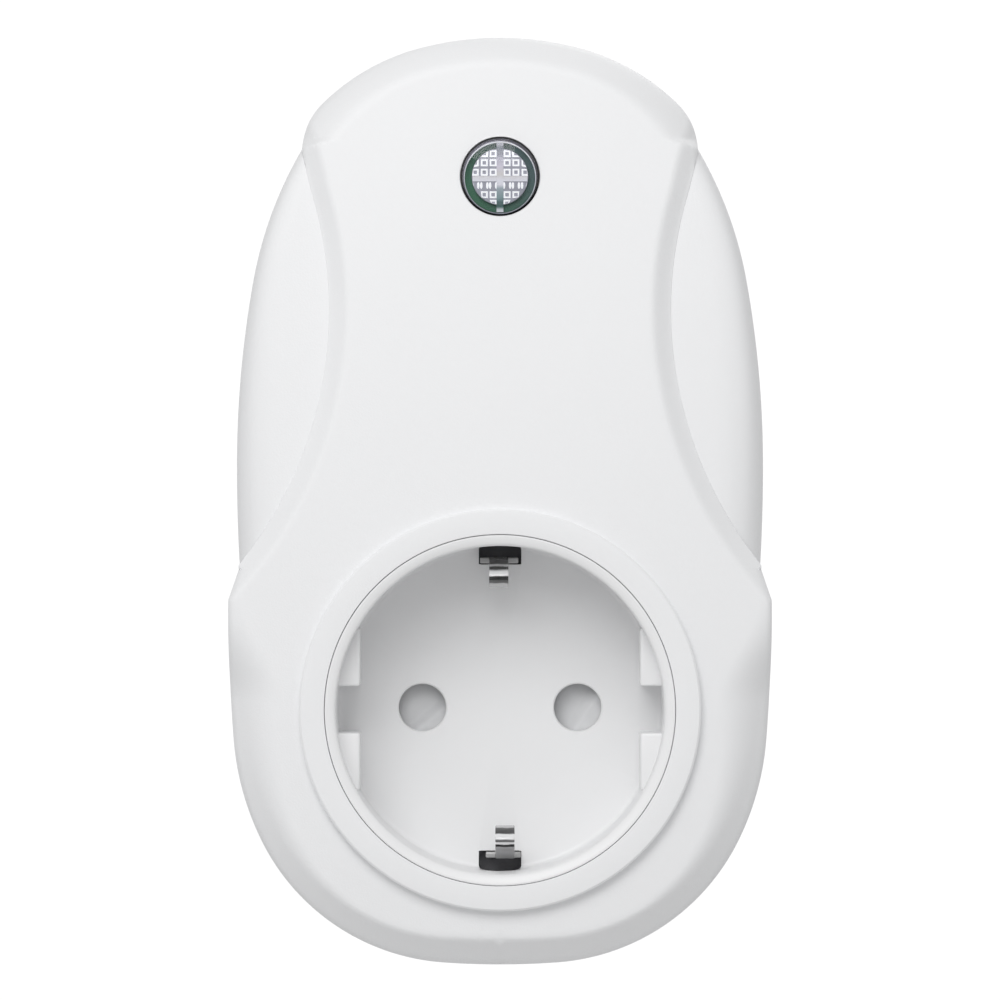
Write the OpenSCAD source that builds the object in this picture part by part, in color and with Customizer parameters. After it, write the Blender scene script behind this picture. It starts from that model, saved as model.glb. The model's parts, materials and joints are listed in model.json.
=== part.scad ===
// Plug-in power meter: a mains adaptor with a type F socket in front, an earthed plug behind, a metering and
// radio board above the socket, and a clear push button with a light guide near the top.
//
// Frame, in mm: the origin is the centre of the plug's pin face, +Z is up, the socket faces -Y and the plug
// pins point along +Y. Each module draws its piece lying on its back, with x to the right, y up the body and
// z towards the user, and upright() then stands it in that frame.

/* [Housing] */
// Top of the dome above the socket axis
dome_top = 82; // [80:0.5:84]
// Bottom of the body below the socket axis
body_bottom = 31.3; // [30:0.1:33]
// Half-width of the side wings at their widest
wing_half_w = 32.2; // [31:0.1:34]
// Height above the socket axis where the wings are widest
wing_widest_y = 29.6; // [28:0.1:31]
// Radius of the crowned front face
crown_r = 600; // [400:50:1200]
// Thickness of the moulded walls
wall = 2.2; // [1.6:0.1:2.6]
// Radius of the concave side cuts at the front face
cut_r = 51; // [48:0.5:54]
// Half-width of the front face at its waist
waist_half_w = 18.6; // [17.5:0.1:20]
// Height of the waist above the socket axis
waist_y = 48.4; // [46:0.1:50]
// Width of the sloping band between front face and wing
band_w = 2.1; // [1:0.1:3]
// Drop from the front face to the wing
step_depth = 3.2; // [2:0.1:4]

/* [Depths in front of the pin face] */
// Wall face of the body, which is also the length of the plug boss
wall_face_z = 17; // [16:0.5:20]
// Joint between the rear and front shells
parting_z = 31; // [29:0.5:33]
// Front face at the middle of its crown
front_z = 53.2; // [52:0.1:54]
// Rim of the raised socket collar
rim_z = 54; // [53.5:0.1:55]

/* [Socket] */
// Depth of the socket recess
recess_depth = 17.5; // [17:0.1:18]
// Radius of the socket recess
recess_r = 19.85; // [19.75:0.05:20]
// Outer radius of the raised collar
collar_r = 24.25; // [23.5:0.05:25]
// Outer radius of the socket insert
insert_r = 21.2; // [21:0.05:21.5]
// Distance between the two pin holes, and between the two plug pins
pin_pitch = 19; // [19:0.1:19.2]
// Radius of the pin holes
hole_r = 2.9; // [2.6:0.05:3]
// Half the distance between the flats at the sides of the recess
flat_half_gap = 17; // [16.8:0.1:17.5]

/* [Plug] */
// Radius of the plug boss
boss_r = 19.25; // [19:0.05:19.3]
// Radius of the plug pins
pin_r = 2.4; // [2.35:0.05:2.45]
// Length of the plug pins
pin_len = 19; // [18.5:0.1:19.5]

/* [Button] */
// Height of the button above the socket axis
button_y = 64.6; // [63:0.1:67]
// Radius of the button where it shows
button_r = 4.6; // [4.4:0.05:5]
// Travel of the button
button_travel = 0.4; // [0.2:0.05:0.5]

/* [Boards] */
// Front surface of the main board
board_z = 25.6; // [25:0.1:27]
// Thickness of the main board
board_t = 1.6; // [1:0.1:2]
// Front surface of the button board
button_board_z = 42.4; // [42:0.1:43]

/* [Smoothness] */
// Number of sides of a drawn circle
detail = 96; // [48:8:160]

/* [Hidden] */
$fn = detail;

// Sprung pieces stand this far apart
touch_gap = 0.05;
// Clearance all round between fitted pieces
fit_gap = 0.05;
// Height of the planes that limit the front bodies
ceiling_z = 60;
// Depth from the outline to the plain core of a body
rim_reach = 8;
// How far the rim sections reach past the outline
rim_spare = 6;
// Overlap of the rim sections with the plain core
core_lap = 1;
// Every second arc of an outline stands out this much, and laps its neighbours this far
seam_step = 0.005;
seam_lap = 0.05;
// Half the length of anything larger than the body
beyond = 120;

// Slant at each shoulder: its height, how far in it ends, and how far out it starts
shoulder_slant_h = 4;
shoulder_slant_in = 1.12;
shoulder_slant_out = 0.22;

// Outlines are chains of tangent arcs, given as radius and turning angle
dome_turns = [[38.4, -14.9], [26.7, -29.6], [8.3, -44.8], [60, -9]];
low_turns = [[98, 4.1], [26.8, 59.4], [33.9, 22], [185, 6.45]];
wing_turns = [[213, 4.6], [128, 10.2], [48.7, 24]];

// The rims: where each slope starts, and how far it runs in for each mm of rise
dome_rim_z = 44.5;
dome_rim_run = 0.74;
low_rim_z = 48.3;
low_rim_run = 0.8;
wing_rim_top_z = 49.6;
wing_rim_r = 6;
rear_rim_r = 3;
rim_inset = 5;
bend_step = 0.25;
wire_sides = 12;

crown_y = 5;
floor_z = rim_z - recess_depth;
floor_t = 2.5;
floor_back_z = floor_z - floor_t;
pin_x = pin_pitch / 2;

// Screws that hold the two shells, as [x, y, end of the thread]
housing_screw_at = [[16, 69.3, 42], [-16, 69.3, 42], [19.5, -17.5, 42], [-19.5, -17.5, 42]];
housing_screw_r = 1.5;
housing_head_r = 2.8;
housing_head_z = 23;
board_screw_at = [[20.2, 29.6], [-20.2, 29.6], [16, 61.5], [-16, 61.5]];
board_screw_r = 1.25;
button_screw_at = [[10.3, button_y], [-10.3, button_y]];
carrier_screw_at = [[11.5, 11.5], [-11.5, -11.5]];
carrier_post_at = [[-12.9, 12.9], [12.9, -12.9]];
retainer_screw_at = [[0, -8.5], [0, 3.5]];

// Socket contacts, their carrier and the shutter between them and the floor
carrier_z = 28.4;
carrier_t = 1.8;
carrier_top_z = carrier_z + carrier_t;
carrier_r = 19;
chamber_z = 18;
chamber_r = 4.6;
chamber_bore_r = 3.5;
contact_r = 3.35;
contact_bore_r = 2.45;
shutter_z = 31.9;
shutter_t = 1.7;
shutter_r = 13.2;
shutter_half_angle = 19;
pivot_r = 1.5;
earth_t = 0.8;
earth_w = 5;
earth_tip_w = 2.35;
front_earth_z = 27.5;
rear_earth_z = 11;
earth_pin_y = 10;
pillar_y = -6;

// Relay, placed by the centre of its foot
relay_at = [-11.5, 42.5];
relay_w = 15.5;
relay_l = 19.5;
relay_h = 15.4;
relay_base_t = 1.4;
relay_wall = 0.8;
relay_hinge_y = -6.4;
relay_armature_z = 12;

relay_leads = [[-15.5, 35.5], [-7.5, 35.5], [-15.5, 49.5], [-7.5, 49.5]];
capacitor_at = [14.2, 35.2];
capacitor_leads = [[11.7, 35.2], [16.7, 35.2]];
film_leads = [[2.5, 52.5], [12.5, 52.5]];
transformer_at = [3.8, 38];
transformer_leads = [[-0.2, 33], [7.8, 33], [-0.2, 43], [7.8, 43]];
varistor_leads = [[-19, 56], [-14, 56]];
fuse_leads = [[-9.5, 63], [9.5, 63]];
shunt_leads = [[-7, 57], [1, 57]];
terminal_at = [[9.5, 29.3], [-9.5, 29.3], [-4.8, 29.3], [4.8, 29.3]];
lead_r = 0.45;
terminal_r = 0.9;

// ---- helpers ----

// Stands a piece drawn on its back in the part's frame.
module upright() {
    rotate([90, 0, 0]) children();
}

module both_sides() {
    children();
    mirror([1, 0, 0]) children();
}

// Straight-sided solid between two heights.
module slab(low, high) {
    translate([0, 0, low]) linear_extrude(high - low) children();
}

// Round bar or hole along z.
module rod(at, r, low, high) {
    translate([at.x, at.y, low]) cylinder(r = r, h = high - low);
}

// Box given by its centre in x and y and by its lowest and highest z.
module block(at, size, low, high) {
    translate([at.x - size.x / 2, at.y - size.y / 2, low]) cube([size.x, size.y, high - low]);
}

function heading(angle) = [cos(angle), sin(angle)];

// Arcs of a smooth outline, each as [centre, radius, start angle, end angle].
function tangent_arcs(point, angle, turns, i = 0) =
    i == len(turns) ? [] :
    let (
        radius = turns[i][0],
        end = angle + turns[i][1],
        centre = point - radius * heading(angle)
    )
    concat(
        [[centre, radius + (i % 2) * seam_step, angle, end]],
        tangent_arcs(centre + radius * heading(end), end, turns, i + 1)
    );

function arc_point(arc, inset, angle) = arc[0] + (arc[1] - inset) * heading(angle);

// Joints of the arcs, moved in to the edge of the plain core.
function core_edge(arcs) = concat(
    [arc_point(arcs[0], rim_reach - core_lap, arcs[0][2])],
    [for (arc = arcs) arc_point(arc, rim_reach - core_lap, arc[3])]
);

// A half outline and its mirror image as one loop.
function whole(half) = concat(half, [for (i = [len(half) - 1 : -1 : 0]) [-half[i].x, half[i].y]]);

// Region of the drawing plane that one arc's rim section fills.
module arc_patch(arc) {
    turn = asin(seam_lap / arc[1]) * sign(arc[3] - arc[2]);
    on_axis = abs(arc[0].x) < seam_step;
    start = on_axis ? arc[2] : arc[2] - turn;
    end = arc[3] + turn;
    polygon([
        arc_point(arc, -rim_spare, start),
        arc_point(arc, -rim_spare, end),
        arc_point(arc, rim_reach, end),
        arc_point(arc, rim_reach, start)
    ]);
}

// Body with an outline of tangent arcs. The child is the section of its rim: x runs out from the outline.
module arc_body(arcs, low, high) {
    both_sides() {
        for (arc = arcs) {
            intersection() {
                translate([arc[0].x, arc[0].y, 0]) rotate_extrude() intersection() {
                    translate([arc[1], 0]) children();
                    square([beyond * 2, beyond]);
                }
                slab(low, high) arc_patch(arc);
            }
        }
    }
    slab(low, high) polygon(whole(core_edge(arcs)));
}

// Strip bent along a path of [y, z] points, with round bends.
module bent_strip(path, width, thick) {
    for (i = [0 : len(path) - 2]) {
        leg = path[i + 1] - path[i];
        translate([0, path[i].x, path[i].y]) rotate([atan2(leg.y, leg.x), 0, 0])
            translate([-width / 2, 0, -thick / 2]) cube([width, norm(leg), thick]);
    }
    for (point = path) {
        translate([-width / 2, point.x, point.y]) rotate([0, 90, 0]) cylinder(d = thick, h = width);
    }
}

function unit(v) = v / norm(v);

// Points of a smooth bend at p, on the way from a to b.
function bend(a, p, b, trim) =
    let (start = p + trim * unit(a - p), end = p + trim * unit(b - p))
    [for (f = [0 : bend_step : 1]) pow(1 - f, 2) * start + 2 * f * (1 - f) * p + pow(f, 2) * end];

function rounded(path, trim) = concat(
    [path[0]],
    [for (i = [1 : len(path) - 2]) each bend(path[i - 1], path[i], path[i + 1], trim)],
    [path[len(path) - 1]]
);

// Round wire along a path. The across direction must never run along the path.
module wire(path, r, across, sides) {
    last = len(path) - 1;
    points = [
        for (i = [0 : last])
            let (
                run = unit(path[min(i + 1, last)] - path[max(i - 1, 0)]),
                side = unit(cross(run, across)),
                up = cross(side, run)
            )
            for (k = [0 : sides - 1])
                path[i] + r * (side * cos(k * 360 / sides) + up * sin(k * 360 / sides))
    ];
    polyhedron(
        points = points,
        faces = concat(
            [[for (k = [0 : sides - 1]) k]],
            [for (i = [0 : last - 1]) for (k = [0 : sides - 1])
                let (next = (k + 1) % sides)
                [i * sides + k, (i + 1) * sides + k, (i + 1) * sides + next, i * sides + next]],
            [[for (k = [sides - 1 : -1 : 0]) last * sides + k]]
        )
    );
}

// Pan-head screw driven towards +z, with a cross recess in its head.
module screw(at, head_r, head_z, head_t, shank_r, tip_z) {
    difference() {
        union() {
            rod(at, head_r, head_z, head_z + head_t);
            rod(at, shank_r, head_z, tip_z);
        }
        block(at, [head_r * 1.2, head_r * 0.3], head_z - 1, head_z + head_t * 0.6);
        block(at, [head_r * 0.3, head_r * 1.2], head_z - 1, head_z + head_t * 0.6);
    }
}

// The same screw driven towards -z.
module screw_down(at, head_r, seat_z, head_t, shank_r, tip_z) {
    mirror([0, 0, 1]) screw(at, head_r, -seat_z - head_t, head_t, shank_r, -tip_z);
}

module leads(points, top) {
    for (at = points) {
        rod(at, lead_r, board_z - board_t - 1.2, top);
    }
}

// ---- housing ----

dome_arcs = tangent_arcs([0, dome_top], 90, dome_turns);
low_arcs = tangent_arcs([0, -body_bottom], -90, low_turns);
wing_foot = [wing_half_w, wing_widest_y]
    + wing_turns[0][0] * (heading(-wing_turns[0][1]) - heading(0));
wing_arcs = tangent_arcs(wing_foot, -wing_turns[0][1], wing_turns);
low_end = low_arcs[len(low_arcs) - 1];
dome_end = dome_arcs[len(dome_arcs) - 1];
shoulder = arc_point(low_end, 0, low_end[3]);
dome_foot = arc_point(dome_end, 0, dome_end[3]);
dome_core_foot = arc_point(dome_end, rim_reach, dome_end[3]);

// Rim section that slopes inwards above a height.
module sloped_rim(slope_z, run) {
    polygon([
        [-beyond, 0],
        [0, 0],
        [0, slope_z],
        [(slope_z - ceiling_z) * run, ceiling_z],
        [-beyond, ceiling_z]
    ]);
}

// Rim section with a rounded upper edge.
module rounded_rim(top, r) {
    translate([-beyond, 0]) square([beyond, top - r]);
    translate([-beyond, 0]) square([beyond - r, top]);
    translate([-r, top - r]) circle(r = r);
}

// Rim section with a rounded lower edge.
module rounded_foot_rim(foot, r) {
    translate([-beyond, foot + r]) square([beyond, ceiling_z - foot - r]);
    translate([-beyond, foot]) square([beyond - r, ceiling_z - foot]);
    translate([-r, foot + r]) circle(r = r);
}

// Region inside an outline of tangent arcs, drawn smaller by the inset.
module arc_region(arcs, inset) {
    both_sides() {
        for (arc = arcs) {
            intersection() {
                translate(arc[0]) circle(r = arc[1] - inset);
                arc_patch(arc);
            }
        }
    }
    polygon(whole(core_edge(arcs)));
}

// Everything below the crowned surface whose highest point is at top.
module crown(top, r) {
    translate([0, crown_y, 0]) rotate_extrude() intersection() {
        translate([0, top - r]) circle(r = r, $fn = 1440);
        square([beyond, ceiling_z]);
    }
}

// Cutter for the two concave sides: a sloping band above the wings and a straight wall at the shoulders.
module side_cut() {
    drop = crown_r - sqrt(pow(crown_r, 2) - pow(waist_y - crown_y, 2));
    tilt = asin((waist_y - crown_y) / crown_r);
    slope = band_w / step_depth;
    rise = 8;
    both_sides() translate([waist_half_w + cut_r, waist_y, 0]) {
        translate([0, 0, front_z - drop]) rotate([-tilt, 0, 0]) rotate_extrude() polygon([
            [0, -step_depth],
            [cut_r - band_w, -step_depth],
            [cut_r + rise * slope, rise],
            [0, rise]
        ]);
        rod([0, 0], cut_r - band_w, 0, ceiling_z);
    }
}

// Regions outside the slant that runs up each shoulder to the side above it, drawn further in by the inset.
module shoulder_region(inset) {
    spare = 2;
    both_sides() polygon([
        [shoulder.x - shoulder_slant_in - inset, shoulder.y + 2 * seam_lap],
        [shoulder.x + shoulder_slant_out - inset, shoulder.y - shoulder_slant_h],
        [shoulder.x + spare, shoulder.y - shoulder_slant_h],
        [shoulder.x + spare, shoulder.y + 2 * seam_lap]
    ]);
}

// Front region between the shoulders and the dome, with its sides inside the wings.
module neck_region(inset) {
    lap = 2;
    polygon(whole([
        [shoulder.x - rim_reach - lap, shoulder.y - lap],
        [shoulder.x - 1.2 - inset, shoulder.y],
        [dome_foot.x - inset, dome_foot.y],
        dome_core_foot + [-lap, lap]
    ]));
}

// Outer form of the housing's front half.
module front_body() {
    difference() {
        intersection() {
            union() {
                arc_body(dome_arcs, parting_z, ceiling_z) sloped_rim(dome_rim_z, dome_rim_run);
                arc_body(low_arcs, parting_z, ceiling_z) sloped_rim(low_rim_z, low_rim_run);
                slab(parting_z, ceiling_z) neck_region(0);
            }
            crown(front_z, crown_r);
        }
        side_cut();
        slab(0, ceiling_z) shoulder_region(0);
    }
    intersection() {
        arc_body(wing_arcs, parting_z, ceiling_z) rounded_rim(wing_rim_top_z, wing_rim_r);
        crown(front_z - step_depth, crown_r - step_depth);
    }
}

// Everything below two planes that follow the crowned front face from inside, at the given depth under it.
module under_front(depth) {
    fall_y = 22;
    sag = pow(dome_top - crown_y, 2) / (2 * crown_r);
    translate([-beyond, 0, 0]) rotate([90, 0, 90]) linear_extrude(2 * beyond) polygon([
        [-beyond, 0],
        [-beyond, front_z - depth - 0.3],
        [fall_y, front_z - depth - 0.3],
        [dome_top, front_z - depth - sag],
        [dome_top, 0]
    ]);
}

// Hollow of the front half: the full width up to the wings, and a narrower part under the front face.
module front_hollow() {
    wide_top_z = dome_rim_z + 0.5;
    for (arcs = [dome_arcs, low_arcs, wing_arcs]) {
        slab(parting_z - 1, wide_top_z) difference() {
            arc_region(arcs, wall);
            shoulder_region(wall);
        }
    }
    difference() {
        intersection() {
            union() {
                slab(wide_top_z - 1, ceiling_z) arc_region(dome_arcs, rim_inset);
                slab(wide_top_z - 1, ceiling_z) arc_region(low_arcs, rim_inset);
                slab(wide_top_z - 1, ceiling_z) neck_region(rim_inset);
            }
            under_front(wall);
        }
        both_sides() rod([waist_half_w + cut_r, waist_y], cut_r + wall, 0, ceiling_z);
    }
}

// Outer form of the housing's rear half.
module rear_body() {
    difference() {
        for (arcs = [dome_arcs, low_arcs, wing_arcs]) {
            arc_body(arcs, wall_face_z, parting_z) rounded_foot_rim(wall_face_z, rear_rim_r);
        }
        slab(0, ceiling_z) shoulder_region(0);
    }
}

// Hollow of the rear half.
module rear_hollow() {
    for (arcs = [dome_arcs, low_arcs, wing_arcs]) {
        slab(wall_face_z + wall, parting_z + 1) difference() {
            arc_region(arcs, wall);
            shoulder_region(wall);
        }
    }
}

module front_shell() upright() color("white") {
    sleeve_r = insert_r + fit_gap;
    tube_r = button_r + 0.2;
    difference() {
        union() {
            difference() {
                front_body();
                front_hollow();
            }
            intersection() {
                union() {
                    rod([0, 0], sleeve_r + 1.3, floor_z + 0.9, front_z);
                    for (at = housing_screw_at) {
                        rod(at, 3, parting_z, front_z);
                    }
                    for (at = button_screw_at) {
                        rod(at, 2, button_board_z + fit_gap, front_z);
                    }
                    rod([0, button_y], tube_r + 3, front_z - 6.6, front_z);
                }
                under_front(wall / 2);
            }
            rod([0, 0], collar_r, front_z - 2, rim_z - 0.3);
            rod([0, 0], collar_r - 0.3, front_z, rim_z);
        }
        rod([0, 0], sleeve_r, parting_z - 1, ceiling_z);
        rod([0, button_y], tube_r, parting_z, ceiling_z);
        rod([0, button_y], tube_r + 1.5, parting_z, front_z - 5.35);
        for (at = housing_screw_at) {
            rod(at, housing_screw_r + fit_gap, parting_z - 1, at.z + 1);
        }
        for (at = button_screw_at) {
            rod(at, 1.05, button_board_z - 1, button_board_z + 4.5);
        }
    }
}

module boss_outline() {
    rib_half_h = 2.5;
    groove_half_h = 10.3;
    difference() {
        circle(r = boss_r);
        both_sides() {
            translate([flat_half_gap - 0.4, rib_half_h]) square([4, groove_half_h - rib_half_h]);
            translate([flat_half_gap - 0.4, -groove_half_h]) square([4, groove_half_h - rib_half_h]);
        }
    }
}

module rear_shell() upright() color("white") {
    face_t = 3;
    boss_hollow_half_w = 14.7;
    difference() {
        union() {
            difference() {
                union() {
                    difference() {
                        rear_body();
                        rear_hollow();
                    }
                    slab(0, wall_face_z + wall) boss_outline();
                }
                slab(face_t, wall_face_z + wall + 1) intersection() {
                    circle(r = boss_r - wall);
                    square([boss_hollow_half_w * 2, beyond], center = true);
                }
            }
            for (at = housing_screw_at) {
                rod(at, 3.6, wall_face_z + 1, parting_z);
            }
            for (at = board_screw_at) {
                rod(at, 2.8, wall_face_z + 1, board_z - board_t);
            }
            for (at = carrier_post_at) {
                rod(at, 2, wall_face_z - 2, carrier_z);
            }
            for (at = retainer_screw_at) {
                rod(at, 2.4, face_t - 1, face_t + 1.6);
            }
        }
        both_sides() rod([pin_x, 0], pin_r + fit_gap, -1, face_t + 1);
        rod([0, earth_pin_y], 2.5, -1, face_t + 1);
        for (side = [1, -1]) {
            block([0, side * (boss_r + 0.1)], [earth_w + 0.3, 2.2], 1.5, rear_earth_z + earth_t + 0.2);
            block([0, side * boss_r], [earth_w + 0.3, 8], rear_earth_z - 0.1, rear_earth_z + earth_t + 0.1);
        }
        for (at = housing_screw_at) {
            rod(at, housing_screw_r + 0.2, 0, parting_z + 1);
            rod(at, housing_head_r + 0.2, 0, housing_head_z);
        }
        for (at = board_screw_at) {
            rod(at, board_screw_r + fit_gap, board_z - 6, board_z);
        }
        for (at = retainer_screw_at) {
            rod(at, 1.05, 1, face_t + 2);
        }
        block([0, 48], [30, 20], 0, wall_face_z + 0.2);
    }
}

module housing_screws() upright() color("silver") {
    for (at = housing_screw_at) {
        screw(at, housing_head_r, housing_head_z - 2, 2, housing_screw_r, at.z);
    }
}

module rating_label() upright() color("gainsboro") {
    block([0, 48], [29.4, 19.4], wall_face_z, wall_face_z + 0.2);
}

// ---- socket ----

module socket_insert() upright() color("whitesmoke") {
    lip_z = rim_z - 0.4;
    chamfer = 1.2;
    lug_top_z = rim_z - 4.5;
    lug_half_h = 9.8;
    notch_half_h = 2.85;
    flange_r = insert_r + 1.5;
    difference() {
        union() {
            rotate_extrude() polygon([
                [0, floor_back_z],
                [flange_r, floor_back_z],
                [flange_r, floor_z + 0.8],
                [insert_r, floor_z + 0.8],
                [insert_r, lip_z],
                [recess_r + chamfer, lip_z],
                [recess_r, lip_z - chamfer],
                [recess_r, floor_z],
                [0, floor_z]
            ]);
            both_sides() for (side = [1, -1]) {
                intersection() {
                    slab(floor_z, lug_top_z) circle(r = recess_r + 0.5);
                    translate([flat_half_gap, side > 0 ? notch_half_h : -lug_half_h, floor_z])
                        cube([5, lug_half_h - notch_half_h, lug_top_z - floor_z]);
                }
            }
            for (at = carrier_screw_at) {
                rod(at, 2.3, carrier_top_z, floor_z - 1);
            }
        }
        both_sides() rod([pin_x, 0], hole_r, carrier_top_z, floor_z + 1);
        for (side = [1, -1]) {
            block([0, side * 18.65], [earth_w + 0.3, 2.1], carrier_z, floor_z + 4.5);
        }
        for (at = carrier_screw_at) {
            rod(at, 1.05, carrier_z, floor_z - 0.8);
        }
    }
}

module contact_carrier() upright() color("ivory") {
    difference() {
        union() {
            slab(carrier_z, carrier_top_z) difference() {
                circle(r = carrier_r);
                for (side = [1, -1]) {
                    translate([-3.2, side > 0 ? 16.8 : -20.8]) square([6.4, 4]);
                }
            }
            both_sides() rod([pin_x, 0], chamber_r, chamber_z, carrier_top_z);
            rod([0, 0], pivot_r, carrier_z, floor_back_z - 0.3);
        }
        both_sides() {
            rod([pin_x, 0], chamber_bore_r, chamber_z + 1, carrier_top_z + 1);
            block([pin_x, 2], [3.2, 3], chamber_z - 1, chamber_z + 2);
        }
        for (at = carrier_screw_at) {
            rod(at, 1.15, carrier_z - 1, carrier_top_z + 1);
        }
    }
}

module carrier_screws() upright() color("silver") {
    for (at = carrier_screw_at) {
        screw(at, 1.9, carrier_z - 1.4, 1.4, 1, floor_z - 1.2);
    }
}

module safety_shutter() upright() color("white") {
    blade_reach = 20;
    difference() {
        union() {
            rod([0, 0], 3.3, shutter_z, shutter_z + shutter_t);
            slab(shutter_z, shutter_z + shutter_t) intersection() {
                circle(r = shutter_r);
                both_sides() polygon([
                    [0, 0],
                    blade_reach * heading(shutter_half_angle),
                    blade_reach * heading(-shutter_half_angle)
                ]);
            }
        }
        for (turn = [0, 180]) {
            rotate([0, 0, turn]) translate([5.5, -0.6, shutter_z + 0.5]) rotate([-24, 0, 0])
                translate([0, -8, 0]) cube([10, 8, 6]);
        }
        rod([0, 0], pivot_r + 0.06, shutter_z - 1, shutter_z + shutter_t + 1);
    }
}

// Torsion spring round the pivot, with a straight leg at each end.
module shutter_spring() upright() color("silver") {
    coil_r = 2.1;
    turns = 2;
    pitch = 0.5;
    low_z = carrier_top_z + 0.25;
    leg = 5;
    step = 15;
    coil = [
        for (angle = [0 : step : 360 * turns])
            [coil_r * cos(angle), coil_r * sin(angle), low_z + pitch * angle / 360]
    ];
    wire(concat([[coil_r, -leg, low_z]], coil, [[coil_r, leg, low_z + pitch * turns]]), 0.2, [0, 0, 1], 8);
}

// Sprung sleeve that grips an inserted pin, with a tag for its wire.
module socket_contact() {
    difference() {
        rod([0, 0], contact_r, chamber_z + 1.1, carrier_z + 0.8);
        rod([0, 0], contact_bore_r, chamber_z + 2.1, carrier_z + 1);
        block([0, -3], [0.8, 4], chamber_z + 4, carrier_z + 1);
        block([0, 3], [0.8, 4], chamber_z + 4, carrier_z + 1);
    }
    block([0, 2], [2.8, 0.9], chamber_z - 3, chamber_z + 1.4);
}

module live_contact() upright() color("goldenrod") {
    translate([-pin_x, 0, 0]) socket_contact();
}

module neutral_contact() upright() color("goldenrod") {
    translate([pin_x, 0, 0]) socket_contact();
}

module front_earth_bracket() upright() color("silver") {
    leg_y = 18.7;
    for (side = [0, 180]) {
        rotate([0, 0, side]) {
            bent_strip([[0, front_earth_z + 0.4], [leg_y, front_earth_z + 0.4], [leg_y, floor_z + 1.6]],
                earth_w, earth_t);
            bent_strip([[leg_y, floor_z + 1.6], [leg_y, floor_z + 3], [15, rim_z - 9], [14.9, rim_z - 7.5],
                [16.2, rim_z - 5.4]], earth_tip_w, earth_t);
        }
    }
}

// ---- plug ----

module plug_pin() {
    tip_r = 1.2;
    relief = 0.2;
    relief_z = -0.5;
    rotate_extrude() {
        translate([0, -pin_len + tip_r]) square([pin_r, pin_len - tip_r + relief_z]);
        translate([0, relief_z - 1]) square([pin_r - relief, 4 - relief_z]);
        translate([0, -pin_len]) square([pin_r - tip_r, tip_r + 1]);
        translate([pin_r - tip_r, -pin_len + tip_r]) intersection() {
            circle(r = tip_r);
            translate([0, -tip_r]) square([tip_r, tip_r * 2]);
        }
        translate([0, 3]) square([4.1, 1.6]);
        translate([0, 4]) square([1.8, 5.4]);
    }
}

module live_pin() upright() color("silver") {
    translate([-pin_x, 0, 0]) plug_pin();
}

module neutral_pin() upright() color("silver") {
    translate([pin_x, 0, 0]) plug_pin();
}

module pin_retainer() upright() color("ivory") {
    seat_z = 4.6 + fit_gap;
    difference() {
        slab(seat_z, seat_z + 2) intersection() {
            circle(r = 14.4);
            translate([-14.4, -11.5]) square([28.8, 17.8]);
        }
        both_sides() rod([pin_x, 0], 1.9, 4, 8);
        for (at = retainer_screw_at) {
            rod(at, 1.15, 4, 8);
        }
    }
}

module retainer_screws() upright() color("silver") {
    for (at = retainer_screw_at) {
        screw_down(at, 1.9, 6.65 + fit_gap, 1.3, 1, 1.6);
    }
}

module rear_earth_bracket() upright() color("silver") {
    strip_z = rear_earth_z + earth_t / 2;
    leg_y = boss_r - 0.45;
    difference() {
        for (side = [0, 180]) {
            rotate([0, 0, side])
                bent_strip([[0, strip_z], [leg_y, strip_z], [leg_y, 2.2]], earth_w, earth_t);
        }
        rod([0, pillar_y], 1.6, rear_earth_z - 1, rear_earth_z + 2);
        rod([0, earth_pin_y], 2.25, rear_earth_z - 1, rear_earth_z + 2);
    }
}

module earth_pin_socket() upright() color("goldenrod") {
    difference() {
        union() {
            rod([0, earth_pin_y], 3.2, 3.1, rear_earth_z);
            rod([0, earth_pin_y], 2.2, rear_earth_z - 1, rear_earth_z + earth_t + 0.6);
        }
        rod([0, earth_pin_y], 2.45, 3, rear_earth_z - 1);
        block([0, earth_pin_y], [0.7, 8], 3, rear_earth_z - 2);
    }
}

// Brass pillar that joins the two earth brackets.
module earth_pillar() upright() color("goldenrod") {
    difference() {
        rod([0, pillar_y], 2.5, rear_earth_z + earth_t, front_earth_z);
        rod([0, pillar_y], 1.3, rear_earth_z, rear_earth_z + 6);
    }
}

module earth_screws() upright() color("silver") {
    screw([0, pillar_y], 2.3, rear_earth_z - 1.4, 1.4, 1.25, rear_earth_z + 5);
}

// ---- main board ----

module main_board() upright() color("darkgreen") {
    half_w = 23;
    low_y = 27;
    high_y = 64.8;
    corner = 6;
    difference() {
        slab(board_z - board_t, board_z) polygon([
            [-half_w, low_y],
            [half_w, low_y],
            [half_w, high_y - corner],
            [half_w - corner, high_y],
            [corner - half_w, high_y],
            [-half_w, high_y - corner]
        ]);
        for (at = board_screw_at) {
            rod(at, 1.5, board_z - 3, board_z + 1);
        }
        for (at = concat(relay_leads, capacitor_leads, film_leads, transformer_leads, varistor_leads,
                fuse_leads, shunt_leads)) {
            rod(at, lead_r + 0.08, board_z - 3, board_z + 1);
        }
        for (at = terminal_at) {
            rod(at, terminal_r + 0.08, board_z - 3, board_z + 1);
        }
    }
}

module board_screws() upright() color("silver") {
    for (at = board_screw_at) {
        screw_down(at, 2.2, board_z, 1.6, board_screw_r, board_z - 5.4);
    }
}

module wire_terminals() upright() color("silver") {
    for (at = terminal_at) {
        rod(at, terminal_r, board_z - board_t - 0.8, board_z + 0.4);
        rod(at, 1.9, board_z, board_z + 1.6);
    }
}

module relay_base() upright() color("dimgray") {
    block(relay_at, [relay_w, relay_l], board_z + 0.1, board_z + relay_base_t);
    leads(relay_leads, board_z + 0.5);
}

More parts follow.
